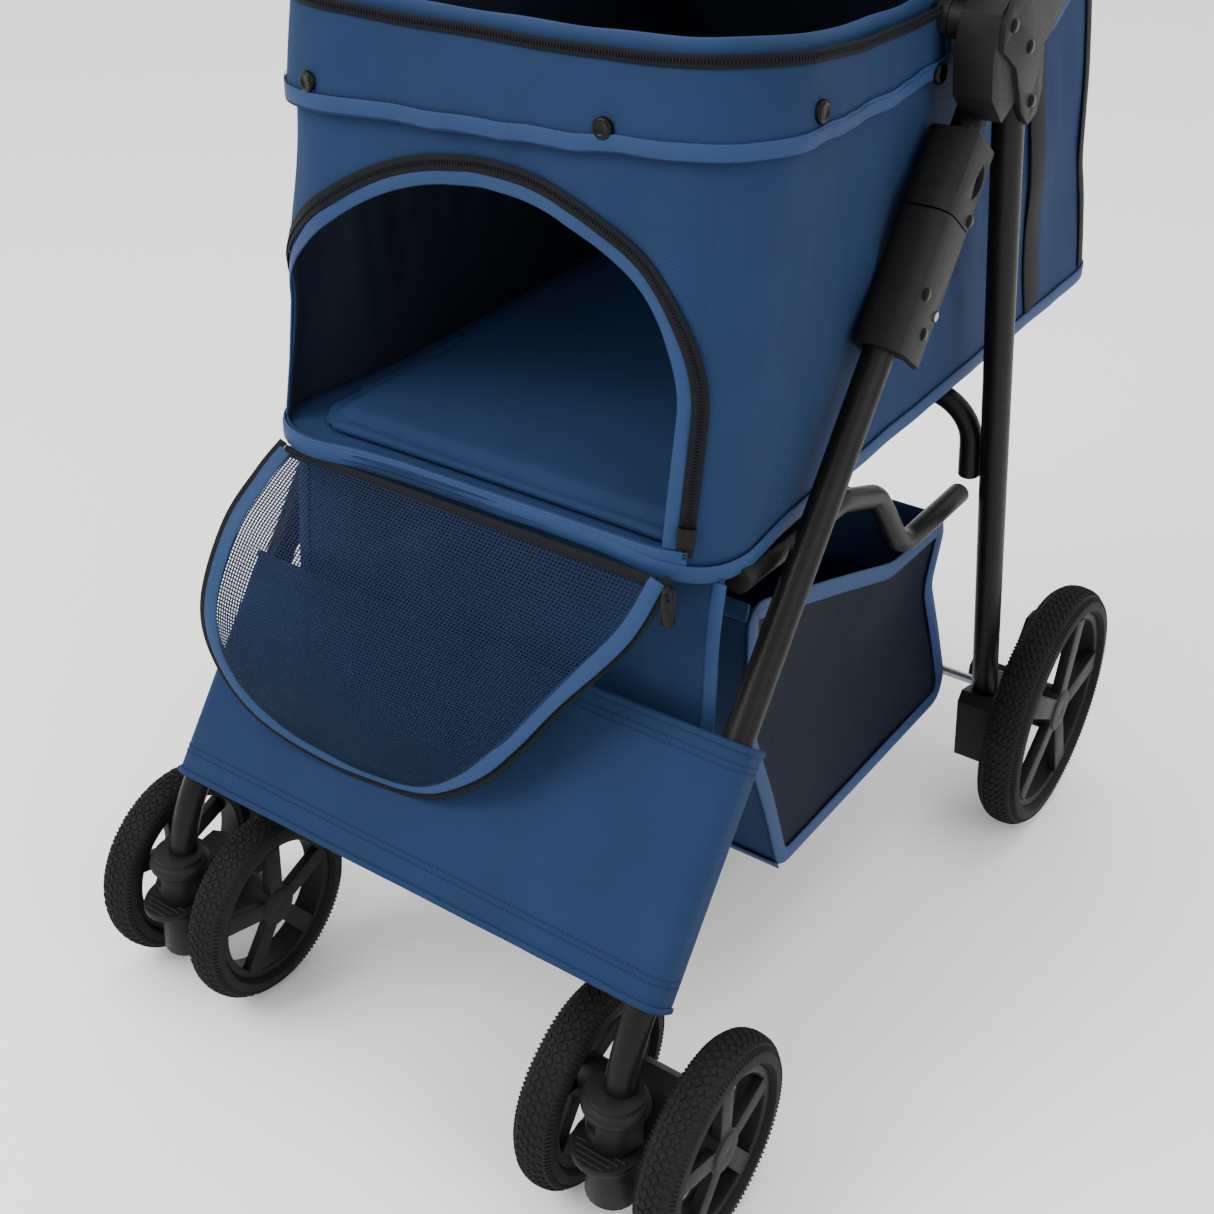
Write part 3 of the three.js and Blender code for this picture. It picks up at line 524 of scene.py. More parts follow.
collar_profile = [(-6 + 6 * math.sin(a), 15.4 + 6.6 * math.cos(a))
                  for a in [2 * math.pi * k / 16 for k in range(16)]]
for hand, side in SIDES:
    finished(f"caster_socket_{hand}", nylon, "black_plastic", edge=1.4)
    finished(f"caster_fork_{hand}", nylon, "black_plastic", edge=2.2)
    x = side * LEG_X
    ring = turned_mesh(collar_profile, at(x, SWIVEL_Y, 124), 40, axis="z")
    belongs(new_object(f"socket_collar_{hand}", ring, nylon), "front_frame", "black_plastic")
    fan = [(x + 24 * math.cos(a), SWIVEL_Y - 2 + 30 * math.sin(a))
           for a in [math.pi + math.pi * k / 24 for k in range(25)]]
    fan += [(x + 15, SWIVEL_Y + 10), (x - 15, SWIVEL_Y + 10)]
    lock = new_object(f"swivel_lock_fan_{hand}", plate_mesh(fan, 84.4, 89.0), nylon)
    rounding = lock.modifiers.new("rounding", "BEVEL")
    rounding.width = 0.0012
    rounding.segments = 3
    rounding.limit_method = "ANGLE"
    settle(lock)
    belongs(lock, body_of[f"swivel_lock_{hand}"], "black_plastic", f"swivel_lock_{hand}")
    for k in range(4):
        forward = -27 + 4.2 * k
        reach = 10 + 2.6 * k
        rib = [at(x - reach, SWIVEL_Y + forward, 89), at(x + reach, SWIVEL_Y + forward, 89)]
        piece = new_object(f"swivel_lock_rib_{hand}_{k}", swept_mesh(rib, round_section(0.9, 10)), nylon)
        belongs(piece, body_of[f"swivel_lock_{hand}"], "black_plastic")

# ---- wheels ----------------------------------------------------------------------------------------
# Foam-filled tyres of black EVA, moulded in two halves with a diamond tread and a ribbed shoulder, on
# five-spoke nylon wheels with a flat cap over the axle. Front wheels are 150 mm, rear wheels 208 mm.

# EVA is matt and a little dusty, with a faint grain about 0.8 mm across.
eva = grained("matt_black_eva", "#101010", "#1b1b1b", 0.8, 0.06, roughness=0.72, spread=0.1)


def tyre_profile(radius, width, rim, steps=18):
    """The tyre's section: a round back, closed by the seat on the rim."""
    half = width / 2
    points = [(-half * 0.72, rim + 0.3)]
    for k in range(steps + 1):
        a = math.pi * k / steps
        swell = math.sin(a) ** 0.75
        points.append((-half * math.cos(a), rim + (radius - rim) * (0.18 + 0.82 * swell)))
    points.append((half * 0.72, rim + 0.3))
    return points


def spoked_mesh(size, centre, outward):
    """Rim band, five tapering spokes and a capped hub as one moulding per part, joined in one mesh."""
    half = size["width"] / 2
    rim, hub = size["rim"], size["hub"]
    face = outward * (half - 4)
    mesh = turned_mesh([(-half * 0.7, rim - 5), (-half * 0.7, rim), (half * 0.7, rim), (half * 0.7, rim - 5),
                        (half * 0.62, rim - 6), (-half * 0.62, rim - 6)], centre, 72)
    inner = face - outward * size["web"]
    for k in range(5):
        a = 2 * math.pi * k / 5 + size["turn"]
        direction = Vector((0, math.cos(a), math.sin(a)))
        across = Vector((0, -math.sin(a), math.cos(a)))
        corners = []
        for radius, half_width in ((hub - 2, size["spoke"]), (rim - 4.5, size["spoke"] * 1.12)):
            for depth in (inner, face):
                for edge in (-1, 1):
                    corners.append(mesh.verts.new(centre + Vector((depth / 1000, 0, 0))
                                                  + direction * (radius / 1000)
                                                  + across * (edge * half_width / 1000)))
        for quad in ((0, 1, 3, 2), (4, 6, 7, 5), (0, 4, 5, 1), (2, 3, 7, 6), (0, 2, 6, 4), (1, 5, 7, 3)):
            mesh.faces.new([corners[i] for i in quad])
    barrel = [(outward * (-half + 1), 4.5), (outward * (-half + 1), hub), (face, hub),
              (face, hub - 1), (face + outward * 1.4, hub - 2.2), (face + outward * 1.8, 0.2)]
    cap = turned_mesh(barrel, centre, 48)
    spare = bpy.data.meshes.new("hub")
    cap.to_mesh(spare)
    cap.free()
    mesh.from_mesh(spare)
    bpy.data.meshes.remove(spare)
    bmesh.ops.recalc_face_normals(mesh, faces=mesh.faces)
    return mesh


def tread_template(name, length, width, height):
    """A small block with chamfered sides, standing on the tyre."""
    mesh = bmesh.new()
    low = [mesh.verts.new((a * length / 2000, b * width / 2000, -0.0008)) for a, b in
           ((-1, 0), (0, -1), (1, 0), (0, 1))]
    high = [mesh.verts.new((a * length / 2600, b * width / 2600, height / 1000)) for a, b in
            ((-1, 0), (0, -1), (1, 0), (0, 1))]
    dip = [mesh.verts.new((a * length / 5200, b * width / 5200, height / 2000)) for a, b in
           ((-1, 0), (0, -1), (1, 0), (0, 1))]
    for k in range(4):
        j = (k + 1) % 4
        mesh.faces.new((low[k], low[j], high[j], high[k]))
        mesh.faces.new((high[k], high[j], dip[j], dip[k]))
    mesh.faces.new(dip)
    mesh.faces.new(low[::-1])
    bmesh.ops.recalc_face_normals(mesh, faces=mesh.faces)
    return new_object(name, mesh, eva, smooth=20)


def rib_template(name, length, width, height):
    mesh = bmesh.new()
    bmesh.ops.create_cube(mesh, size=1)
    for vert in mesh.verts:
        shrink = 0.7 if vert.co.z > 0 else 1.0
        vert.co = Vector((vert.co.x * length * shrink, vert.co.y * width * shrink,
                          vert.co.z * height)) / 1000
    return new_object(name, mesh, eva, smooth=20)


diamond = tread_template("tread_diamond", 7.4, 6.2, 1.1)
shoulder_rib = rib_template("shoulder_rib", 1.6, 5.0, 1.6)
templates += [diamond, shoulder_rib]
FRONT_WHEEL = {"radius": 75, "width": 30, "rim": 57, "hub": 16, "web": 7, "spoke": 6.5, "turn": 0.35}
REAR_WHEEL = {"radius": 104, "width": 34, "rim": 85, "hub": 19, "web": 8, "spoke": 8.5, "turn": 0.1}


def surface_circle(profile, place, centre, count, start):
    """A circle on the tyre at a share of the way round its section, with outward directions."""
    index = place * (len(profile) - 1)
    i = min(int(index), len(profile) - 2)
    (x0, r0), (x1, r1) = profile[i], profile[i + 1]
    share = index - i
    x, r = x0 + (x1 - x0) * share, r0 + (r1 - r0) * share
    slope = Vector((r0 - r1, x1 - x0)).normalized()
    ring = []
    for k in range(count):
        a = 2 * math.pi * (k + start) / count
        spoke = Vector((0, math.cos(a), math.sin(a)))
        ring.append((centre + Vector((x / 1000, 0, 0)) + spoke * (r / 1000),
                     (Vector((slope.x, 0, 0)) + spoke * slope.y).normalized()))
    return ring


def wheel(name, size, x, y, z, outward):
    body = body_of[f"{name}_tyre"]
    centre = at(x, y, z)
    profile = tyre_profile(size["radius"] - 1.1, size["width"] - 1.0, size["rim"])
    tyre = new_object(f"{name}_eva_tyre", turned_mesh(profile, centre, 96), eva)
    belongs(tyre, body, "tyre_rubber", f"{name}_tyre")
    pitch = 7.9
    count = round(2 * math.pi * size["radius"] / pitch)
    crown = profile[1:-1]
    rows = []
    for row in range(5):
        rows.append(surface_circle(crown, 0.32 + 0.09 * row, centre, count, 0.5 * (row % 2)))
    spacing = 2 * math.pi * size["radius"] / count
    tread = repeated(f"{name}_tread", rows, diamond, eva, spacing=spacing * 0.985, closed=True)
    belongs(tread, body, "tyre_rubber")
    shoulders = [surface_circle(crown, place, centre, 72, 0) for place in (0.17, 0.83)]
    ribs = repeated(f"{name}_shoulder_ribs", shoulders, shoulder_rib, eva, spacing=3.3, closed=True)
    belongs(ribs, body, "tyre_rubber")
    parting = [p for p, _ in surface_circle(crown, 0.5, centre, 96, 0)]
    seam = new_object(f"{name}_parting_line", swept_mesh(parting, round_section(0.35, 6), closed=True), eva)
    belongs(seam, body, "tyre_rubber")
    hub = new_object(f"{name}_spoked_hub", spoked_mesh(size, centre, outward), nylon, smooth=35)
    edges = hub.modifiers.new("rounding", "BEVEL")
    edges.width = 0.0009
    edges.segments = 2
    edges.limit_method = "ANGLE"
    edges.angle_limit = math.radians(35)
    settle(hub)
    hub.data.shade_smooth()
    hub.data.set_sharp_from_angle(angle=math.radians(50))
    belongs(hub, body, "black_plastic", f"{name}_hub")


for hand, side in SIDES:
    wheel(f"front_outer_wheel_{hand}", FRONT_WHEEL, side * (LEG_X + 44.3), 0, 75, side)
    wheel(f"front_inner_wheel_{hand}", FRONT_WHEEL, side * (LEG_X - 44.3), 0, 75, -side)
    wheel(f"rear_wheel_{hand}", REAR_WHEEL, side * 232, 547, 104, side)

# ---- rear frame ---------------------------------------------------------------------------------
# Two straight rear legs hang from the knuckles and end in moulded axle housings. A bow of 16 mm tube
# ties them together under the cabin, one steel axle carries both wheels, and each side has a brake.

for hand, side in SIDES:
    top, foot = at(side * 200, 347.25, 658), at(side * 195, 518, 72)
    tube_piece(f"rear_leg_{hand}", [top, foot], TUBE_RADIUS)
    finished(f"axle_housing_{hand}", nylon, "black_plastic", edge=1.6)
    finished(f"brake_pedal_{hand}", nylon, "black_plastic", edge=1.0)
bow_x = 178.6
tube_piece("rear_bow", [at(bow_x, 437, 350), at(bow_x, 424, 414), at(-bow_x, 424, 414),
                        at(-bow_x, 437, 350)], 8, 36)
rod_piece("rear_axle_bar", at(-243, 547, 104), at(243, 547, 104), 4, zinc, "plated_steel", "rear_axle")

# ---- seat rails -----------------------------------------------------------------------------------
# A pair of 16 mm bent tubes carries the cabin's floor; the front ends are closed with nylon plugs and
# a cross tube keeps them apart.

for hand, side in SIDES:
    x = side * 167.5
    tube_piece(f"seat_rail_{hand}", [at(x, 106, 411), at(x, 147, 409), at(x, 238, 407), at(x, 296, 387),
                                     at(x, 350, 323), at(x, 453, 323)], 8, 40)
    plug = swept_mesh([at(x, 102.5, 411.2), at(x, 112, 410.7)], round_section(8.6, 20))
    belongs(new_object(f"rail_plug_{hand}", plug, nylon), "seat_frame", "black_plastic")
rail_reach = 167.5 - 8.5
tube_piece("rail_cross_tube", [at(-rail_reach, 232, 407), at(rail_reach, 232, 407)], 7)

# ---- cabin ---------------------------------------------------------------------------------------
# The cabin is one bag of 300-denier polyester oxford, dyed navy: four walls that lean in towards the
# top, joined in the round corners, with an arched doorway in front. Its rim carries a zip all round.


def fabric(name, dark, light, pitch=1.5, sheen=0.12, roughness=0.82, relief=0.10):
    """Woven cloth: diagonal twill lines and single threads, read from the piece's own UV in metres."""
    material, tree, shader = start_material(name, Sheen_Weight=sheen, Sheen_Roughness=0.45,
                                            Roughness=roughness, Specular_IOR_Level=0.15)
    shader.inputs["Sheen Tint"].default_value = linear(light)
    flat = add_node(tree, "ShaderNodeUVMap", uv_map="cloth").outputs["UV"]
    wave = 0.314 * 1000 / pitch
    diagonal = add_node(tree, "ShaderNodeMapping", {"Vector": flat, "Rotation": (0, 0, math.radians(38))})
    twill = add_node(tree, "ShaderNodeTexWave", {"Vector": diagonal.outputs["Vector"], "Scale": wave,
                                                 "Distortion": 0.6, "Detail": 1.0, "Detail Scale": 0.4})
    counter = add_node(tree, "ShaderNodeMapping", {"Vector": flat, "Rotation": (0, 0, math.radians(-52))})
    threads = add_node(tree, "ShaderNodeTexWave", {"Vector": counter.outputs["Vector"],
                                                   "Scale": wave * 1.6, "Distortion": 0.4})
    place = add_node(tree, "ShaderNodeTexCoord").outputs["Object"]
    broad = add_node(tree, "ShaderNodeTexNoise", {"Vector": place, "Scale": 1000 / 60, "Detail": 5.0})
    height = add_node(tree, "ShaderNodeMath", {0: twill.outputs["Fac"], 1: threads.outputs["Fac"]},
                      operation="MULTIPLY")
    woven = add_node(tree, "ShaderNodeMath", {0: height.outputs[0], 1: 0.62}, operation="MULTIPLY")
    factor = add_node(tree, "ShaderNodeMath", {0: broad.outputs["Fac"], 1: 0.5, 2: woven.outputs[0]},
                      operation="MULTIPLY_ADD")
    tree.links.new(two_tones(tree, factor.outputs[0], dark, light), shader.inputs["Base Color"])
    bump = add_node(tree, "ShaderNodeBump", {"Height": height.outputs[0], "Distance": relief / 1000,
                                             "Strength": 0.8})
    tree.links.new(bump.outputs["Normal"], shader.inputs["Normal"])
    return material


# Polyester oxford is matt with a soft bloom at grazing angles. Its threads are 0.5 mm apart, drawn at
# 1.5 mm so that the diagonal weave shows.
oxford = fabric("navy_polyester_oxford", "#10203a", "#1a2f50")
# The walls' and hood's inner faces are the same cloth as outside; this darker, greyer copy without sheen is
# painted shade for their dim insides.
shade_inner_cloth = fabric("painted_shade_inner_cloth", "#10151f", "#181f2c", sheen=0.0, roughness=0.7)

CORNER = 48
FLAT_HALF = 169 - CORNER
ARC = CORNER * math.pi / 2
BOTTOM = {"front": 68, "back": 692, "z_front": 424, "z_back": 438}
TOP = {"front": 98, "back": 588}
RIM_Z = 712
SIDE_RUN = BOTTOM["back"] - BOTTOM["front"] - 2 * CORNER
LOOP = 4 * (FLAT_HALF + ARC) + 2 * SIDE_RUN
CORNER_START = FLAT_HALF
SIDE_START = CORNER_START + ARC
SIDE_END = SIDE_START + SIDE_RUN
REAR_START = SIDE_END + ARC


def ring_place(p, front, back):
    """The (x, y) and outward direction at p millimetres round the cabin from the front's middle."""
    p = (p + LOOP / 2) % LOOP - LOOP / 2
    side = 1 if p >= 0 else -1
    p = abs(p)
    run = back - front - 2 * CORNER
    if p <= CORNER_START:
        x, y, nx, ny = p, front, 0, -1
    elif p <= SIDE_START:
        a = (p - CORNER_START) / CORNER
        x, y = FLAT_HALF + CORNER * math.sin(a), front + CORNER * (1 - math.cos(a))
        nx, ny = math.sin(a), -math.cos(a)
    elif p <= SIDE_END:
        x, y = FLAT_HALF + CORNER, front + CORNER + run * (p - SIDE_START) / SIDE_RUN
        nx, ny = 1, 0
    elif p <= REAR_START:
        a = (p - SIDE_END) / CORNER
        x, y = FLAT_HALF + CORNER * math.cos(a), back - CORNER + CORNER * math.sin(a)
        nx, ny = math.cos(a), math.sin(a)
    else:
        x, y, nx, ny = FLAT_HALF - (p - REAR_START), back, 0, 1
    return side * x, y, side * nx, ny


def floor_edge(y):
    share = (y - BOTTOM["front"]) / (BOTTOM["back"] - BOTTOM["front"])
    return BOTTOM["z_front"] + (BOTTOM["z_back"] - BOTTOM["z_front"]) * share


def cabin_wall(p, z, out=0.0):
    """A point of the cabin's wall, out millimetres proud of it, and the outward direction there."""
    x0, y0, nx, ny = ring_place(p, BOTTOM["front"], BOTTOM["back"])
    x1, y1, _, _ = ring_place(p, TOP["front"], TOP["back"])
    low = floor_edge(y0)
    share = (z - low) / (RIM_Z - low)
    out += billow(p, z, share)
    point = at(x0 + (x1 - x0) * share + nx * out, y0 + (y1 - y0) * share + ny * out, z)
    return point, Vector((nx, ny, 0)).normalized()


def billow(p, z, share):
    """How far the cloth stands out or in: it sags between its seams and creases from the corners."""
    middle = max(0.0, math.sin(math.pi * min(max(share, 0), 1)))
    p = (p + LOOP / 2) % LOOP - LOOP / 2
    folds = noise.noise(Vector((p / 42, z / 210, 3.1)))
    soft = noise.noise(Vector((p / 105, z / 90, 9.7)))
    crease = noise.noise(Vector((p / 19 + z / 46, z / 130, 5.5)))
    corner = math.exp(-((abs(p) - SIDE_START - 30) / 75) ** 2)
    pleats = noise.noise(Vector((p / 17 - z / 90, z / 260, 2.2)))
    slack = 15 * math.exp(-((p + 168) / 62) ** 2)
    return middle * (3.4 * folds + 4.2 * soft + 1.7 * crease + 3.0 * corner * pleats - 1.0) + slack


def side_place(y, z):
    """How far round the cabin a point of its side wall at (y, z) is."""
    share = (z - floor_edge(y)) / (RIM_Z - floor_edge(y))
    start = (1 - share) * (BOTTOM["front"] + CORNER) + share * (TOP["front"] + CORNER)
    run = (1 - share) * SIDE_RUN + share * (TOP["back"] - TOP["front"] - 2 * CORNER)
    return SIDE_START + (y - start) / run * SIDE_RUN


DOOR_FEET = (-162, 142)
DOOR_FOOT_Z, DOOR_SHOULDER_Z, DOOR_CROWN_Z = 436, 516, 630


def front_place(x):
    """How far round the cabin a point of its front at x is."""
    if abs(x) <= FLAT_HALF:
        return x
    return math.copysign(FLAT_HALF + CORNER * math.asin((abs(x) - FLAT_HALF) / CORNER), x)


def door_arch(steps=48, grow=0.0):
    """The doorway's (p, z) points over the arch, from the +X side to the -X side."""
    middle = sum(DOOR_FEET) / 2
    half = (DOOR_FEET[1] - DOOR_FEET[0]) / 2
    points = []
    for k in range(steps + 1):
        a = math.pi * k / steps
        points.append((front_place(middle + half * math.cos(a)) + grow * math.cos(a),
                       DOOR_SHOULDER_Z + (DOOR_CROWN_Z - DOOR_SHOULDER_Z + grow) * math.sin(a)))
    return points


def rim_z(p):
    """The zipped rim rises a little in the front corners and dips between them."""
    return RIM_Z - 1 + 6 * math.exp(-((abs(p) - 165) / 60) ** 2) + 1.5 * noise.noise(Vector((p / 70, 0, 1)))


def grid_faces(mesh, uv, rows, merge):
    """Adds a sheet of quads from rows of points; points already in merge are shared."""
    def vert(point):
        key = tuple(round(c * 20000) for c in point)
        if key not in merge:
            merge[key] = mesh.verts.new(point)
        return merge[key]
    grid = [[vert(point) for point in row] for row in rows]
    up = [0.0]
    for low, high in zip(rows, rows[1:]):
        up.append(up[-1] + sum((b - a).length for a, b in zip(low, high)) / len(low))
    middle = rows[len(rows) // 2]
    across = [0.0]
    for a, b in zip(middle, middle[1:]):
        across.append(across[-1] + (b - a).length)
    for r in range(len(grid) - 1):
        for c in range(len(grid[r]) - 1):
            corners = [(r, c), (r, c + 1), (r + 1, c + 1), (r + 1, c)]
            verts = []
            for i, j in corners:
                if grid[i][j] not in verts:
                    verts.append(grid[i][j])
            if len(verts) < 3 or mesh.faces.get(verts):
                continue
            face = mesh.faces.new(verts)
            places = {grid[i][j]: (across[j], up[i]) for i, j in corners}
            for loop in face.loops:
                loop[uv].uv = places[loop.vert]


def cloth_piece(name, patches, material, thickness=1.0, inward=True, back=None):
    """A sheet of cloth made of patches of point rows, given its thickness."""
    mesh = bmesh.new()
    uv = mesh.loops.layers.uv.new("cloth")
    merge = {}
    for rows in patches:
        grid_faces(mesh, uv, rows, merge)
    piece = new_object(name, mesh, material, smooth=70)
    wall = piece.modifiers.new("thickness", "SOLIDIFY")
    wall.thickness = thickness / 1000
    wall.offset = -1 if inward else 0
    if back:
        piece.data.materials.append(back)
        wall.material_offset = 1
    return piece


def steps_between(a, b, count):
    return [a + (b - a) * k / count for k in range(count + 1)]


arch = door_arch()
door_right, door_left = arch[0][0], arch[-1][0]
lower_rows = 12
upper_rows = 26


def wall_column(p, bottom_z):
    """One column of wall points from bottom_z to the rim."""
    return [cabin_wall(p, z)[0] for z in steps_between(bottom_z, rim_z(p), upper_rows)]


def floor_z_at(p):
    """The height of the bag's bottom seam, which hangs a little at the front corner."""
    hang = 8 * math.exp(-((p - 168) / 50) ** 2) + 1.2 * noise.noise(Vector((p / 40, 4, 4)))
    return floor_edge(ring_place(p, BOTTOM["front"], BOTTOM["back"])[1]) - hang


def column_of(p):
    low = floor_z_at(p)
    below = [low] + steps_between(max(DOOR_FOOT_Z, low + 6), DOOR_SHOULDER_Z, lower_rows)
    return [cabin_wall(p, z)[0] for z in below[:-1]] + wall_column(p, DOOR_SHOULDER_Z)


round_columns = [column_of(p) for p in steps_between(door_right, door_left + LOOP, 240)]
arch_columns = [wall_column(p, z) for p, z in reversed(arch)]
sill_columns = [[cabin_wall(p, z)[0] for z in (floor_z_at(p), DOOR_FOOT_Z)] for p, _ in reversed(arch)]
cabin_patches = [[list(row) for row in zip(*columns)]
                 for columns in (round_columns, arch_columns, sill_columns)]
# Its inner face takes the darker cloth, painted shade for the inside of the cabin.
cabin = cloth_piece("cabin_bag", cabin_patches,
                    oxford, thickness=1.4, back=shade_inner_cloth)


def on_cabin(piece, slot, *nodes):
    """Cloth and trims that ride on the seat frame with the cabin."""
    belongs(piece, "seat_frame", slot, *nodes)
    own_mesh(piece)
    return piece


on_cabin(cabin, "navy_fabric", "cabin")

# ---- band, bindings and snaps -----------------------------------------------------------------------
# A band of the same cloth is sewn along the rim and hangs over the wall's front and sides. Its lower
# edge and ends are bound with satin tape, sewn twice, and four black snaps hold it down.

# Polyester satin tape is lighter and glossier than the oxford, with ribs 0.8 mm apart.
satin = fabric("blue_satin_binding", "#182b4a", "#233a5e", pitch=1.2, sheen=0.2, roughness=0.6, relief=0.05)
BAND_END = side_place(310, 690)


def band_hem_z(p):
    reach = abs(p)
    front = 652.5 + 0.075 * max(0, p) - 0.02 * max(0, -p)
    return front - 7 * max(0, min(1, (reach - 190) / 120)) + 1.6 * noise.noise(Vector((p / 33, 7, 2)))


def band_place(p, share, out=0.0):
    """A point of the band, share of the way from its hem to the rim."""
    z = band_hem_z(p) + (rim_z(p) - 3 - band_hem_z(p)) * share
    lift = 2.2 + 4.5 * (1 - share) ** 2 + 1.4 * (1 - share) * noise.noise(Vector((p / 27, z / 60, 4)))
    return cabin_wall(p, z, lift + out)


band_rows = [[band_place(p, share)[0] for p in steps_between(-BAND_END, BAND_END, 190)]
             for share in steps_between(0, 1, 12)]
band = cloth_piece("rim_band", [band_rows], oxford, thickness=1.1)
on_cabin(band, "navy_fabric")


def tape_section(width, thick=1.0):
    """A flat tape with rounded edges."""
    half, t = width / 2, thick / 2
    return [(-half, -t * 0.4), (-half + t, -t), (half - t, -t), (half, -t * 0.4), (half, t * 0.4),
            (half - t, t), (-half + t, t), (-half, t * 0.4)]


def tape(name, places, width, material, thick=1.0, closed=False):
    """A flat tape laid along (point, outward) places."""
    points = [point for point, _ in places]
    mesh = swept_mesh(points, tape_section(width, thick), [out for _, out in places], closed)
    return new_object(name, mesh, material, smooth=70)


hem_places = [band_place(-BAND_END, share, 0.6) for share in steps_between(1, 0.12, 8)]
hem_places += [band_place(p, 0.10, 0.6) for p in steps_between(-BAND_END + 5, BAND_END - 5, 170)]
hem_places += [band_place(BAND_END, share, 0.6) for share in steps_between(0.12, 1, 8)]
on_cabin(tape("rim_band_binding", hem_places, 10, satin, thick=1.1), "navy_fabric")

stitch = small_turned("stitch", [(-0.9, 0), (-0.5, 0.36), (0.5, 0.36), (0.9, 0)], 6)
for vert in stitch.data.vertices:
    vert.co = Vector((vert.co.z * 1.5, vert.co.y, vert.co.x * 0.8))
templates.append(stitch)
# Bonded polyester thread catches the light as small pale dashes.
thread = grained("navy_bonded_thread", "#0e1b33", "#152643", 0.5, 0.02, roughness=0.5)
seam_lines = [[band_place(p, share, 1.6) for p in steps_between(-BAND_END + 8, BAND_END - 8, 170)]
              for share in (0.17, 0.20)]
on_cabin(repeated("rim_band_stitches", seam_lines, stitch, thread, spacing=3.4), "navy_fabric")

snap_profile = [(-1.5, 6.6), (0.9, 6.6), (1.9, 5.9), (2.1, 4.4), (1.5, 3.6), (1.4, 0)]
snap_cap = small_turned("snap_cap", snap_profile, 28)
templates.append(snap_cap)
# Acetal snaps are smooth and semi-gloss.
acetal = grained("black_acetal", "#060606", "#0a0a0a", 0.9, 0.01, roughness=0.3)
snap_places = []
for p, z in ((front_place(-134), 667), (72, 671), (SIDE_START + 2, 684), (side_place(291, 675), 675)):
    share = (z - band_hem_z(p)) / (rim_z(p) - 3 - band_hem_z(p))
    point, out = band_place(p, share, 1.6)
    snap_places.append((point, out, FORWARD))
on_cabin(repeated("rim_band_snaps", [snap_places], snap_cap, acetal), "black_plastic")

# ---- zips ----------------------------------------------------------------------------------------
# Nylon coil zips: a woven black tape with one row of small teeth. One runs round the rim and the hood
# joins it; another follows the doorway's arch, with a satin lip inside it. Both are sewn on.

zip_tape = fabric("black_zip_tape", "#04060a", "#080c13", pitch=1.2, sheen=0.0, roughness=0.75)
# The nylon coil is shinier than its tape.
zip_coil = grained("black_nylon_coil", "#05070b", "#0b0e14", 0.6, 0.01, roughness=0.28)
tooth = small_turned("zip_tooth", [(-1.5, 0), (-0.9, 0.62), (0.9, 0.62), (1.5, 0)], 6)
for vert in tooth.data.vertices:
    vert.co = Vector((vert.co.x * 0.9, vert.co.z, vert.co.y))
templates.append(tooth)


def zip_along(name, places, width, attach):
    """A zip's tape with its teeth along the middle."""
    attach(tape(f"{name}_tape", places, width, zip_tape, thick=1.0), "navy_fabric")
    raised = [(point + out * 0.0009, out) for point, out in places]
    attach(repeated(f"{name}_teeth", [raised], tooth, zip_coil, spacing=2.0), "black_plastic")


rim_places = []
for p in steps_between(-BAND_END + 4, BAND_END - 4, 180):
    rim_places.append(cabin_wall(p, rim_z(p) - 1.0, 3.6))
zip_along("rim_zip", rim_places, 7.5, on_cabin)
lip_places = [cabin_wall(p, rim_z(p) + 2.0 + 3 * noise.noise(Vector((p / 60, 2, 2))), -5)
              for p in steps_between(-BAND_END, BAND_END, 120)]
on_cabin(tape("rim_lip", lip_places, 15, satin, thick=1.4), "navy_fabric")

door_line = [(door_right + 4, DOOR_FOOT_Z - 4), (door_right + 4, 476)] + door_arch(60, grow=4)
door_line += [(door_left - 4, 476), (door_left - 4, DOOR_FOOT_Z - 4)]
zip_along("door_zip", [cabin_wall(p, z, 1.2) for p, z in door_line], 10, on_cabin)
door_lip = [(door_right - 5, DOOR_FOOT_Z), (door_right - 5, 476)] + door_arch(60, grow=-5)
door_lip += [(door_left + 5, 476), (door_left + 5, DOOR_FOOT_Z)]
on_cabin(tape("door_lip", [cabin_wall(p, z, -0.6) for p, z in door_lip], 9, satin, thick=1.6),
         "navy_fabric")
sill = [cabin_wall(p, DOOR_FOOT_Z - 7, 1.0) for p in steps_between(door_left - 6, door_right + 6, 60)]
on_cabin(tape("door_sill_binding", sill, 14, satin, thick=1.6), "navy_fabric")

for hand, side in SIDES:
    rear_corner = [cabin_wall(side * (SIDE_END + 6), z, 1.0) for z in steps_between(450, 690, 40)]
    on_cabin(tape(f"rear_corner_zip_{hand}", rear_corner, 12, zip_tape), "navy_fabric")

# Black polypropylene webbing with ribs 2.2 mm apart runs up each side from the floor to the rim.
webbing = fabric("black_ribbed_webbing", "#020304", "#07090d", pitch=2.2, sheen=0.0, roughness=0.7,
                 relief=0.3)
for hand, side in SIDES:
    strap = []
    for z in steps_between(446, 706, 50):
        y = 541 - (z - 448) * (541 - 463.6) / (688 - 448) + 2.2 * noise.noise(Vector((z / 42, 3, side)))
        strap.append(cabin_wall(side * side_place(y, z), z, 1.6))
    on_cabin(tape(f"side_webbing_{hand}", strap, 25, webbing, thick=1.4), "navy_fabric")

bottom_edge = [cabin_wall(p, floor_z_at(p) + 4, 1.4) for p in steps_between(-LOOP / 2, LOOP / 2, 260)[:-1]]
on_cabin(tape("cabin_bottom_binding", bottom_edge, 11, satin, thick=1.8, closed=True), "navy_fabric")

finished("zip_pull", acetal, "black_plastic", edge=0.5)
slider_run = [cabin_wall(door_right + 4, z, 3.4)[0] for z in (452, 446, 440)]
slider = swept_mesh(slider_run, tape_section(11, 5), [cabin_wall(door_right + 4, 446)[1]] * 3)
on_cabin(new_object("door_zip_slider", slider, acetal), "black_plastic")

# ---- door flap ---------------------------------------------------------------------------------
# The doorway's cover hangs open over the apron: a panel of knitted mesh cut to the arch, bound all
# round with satin tape and edged with the other half of the zip. It bellies forward as it hangs.


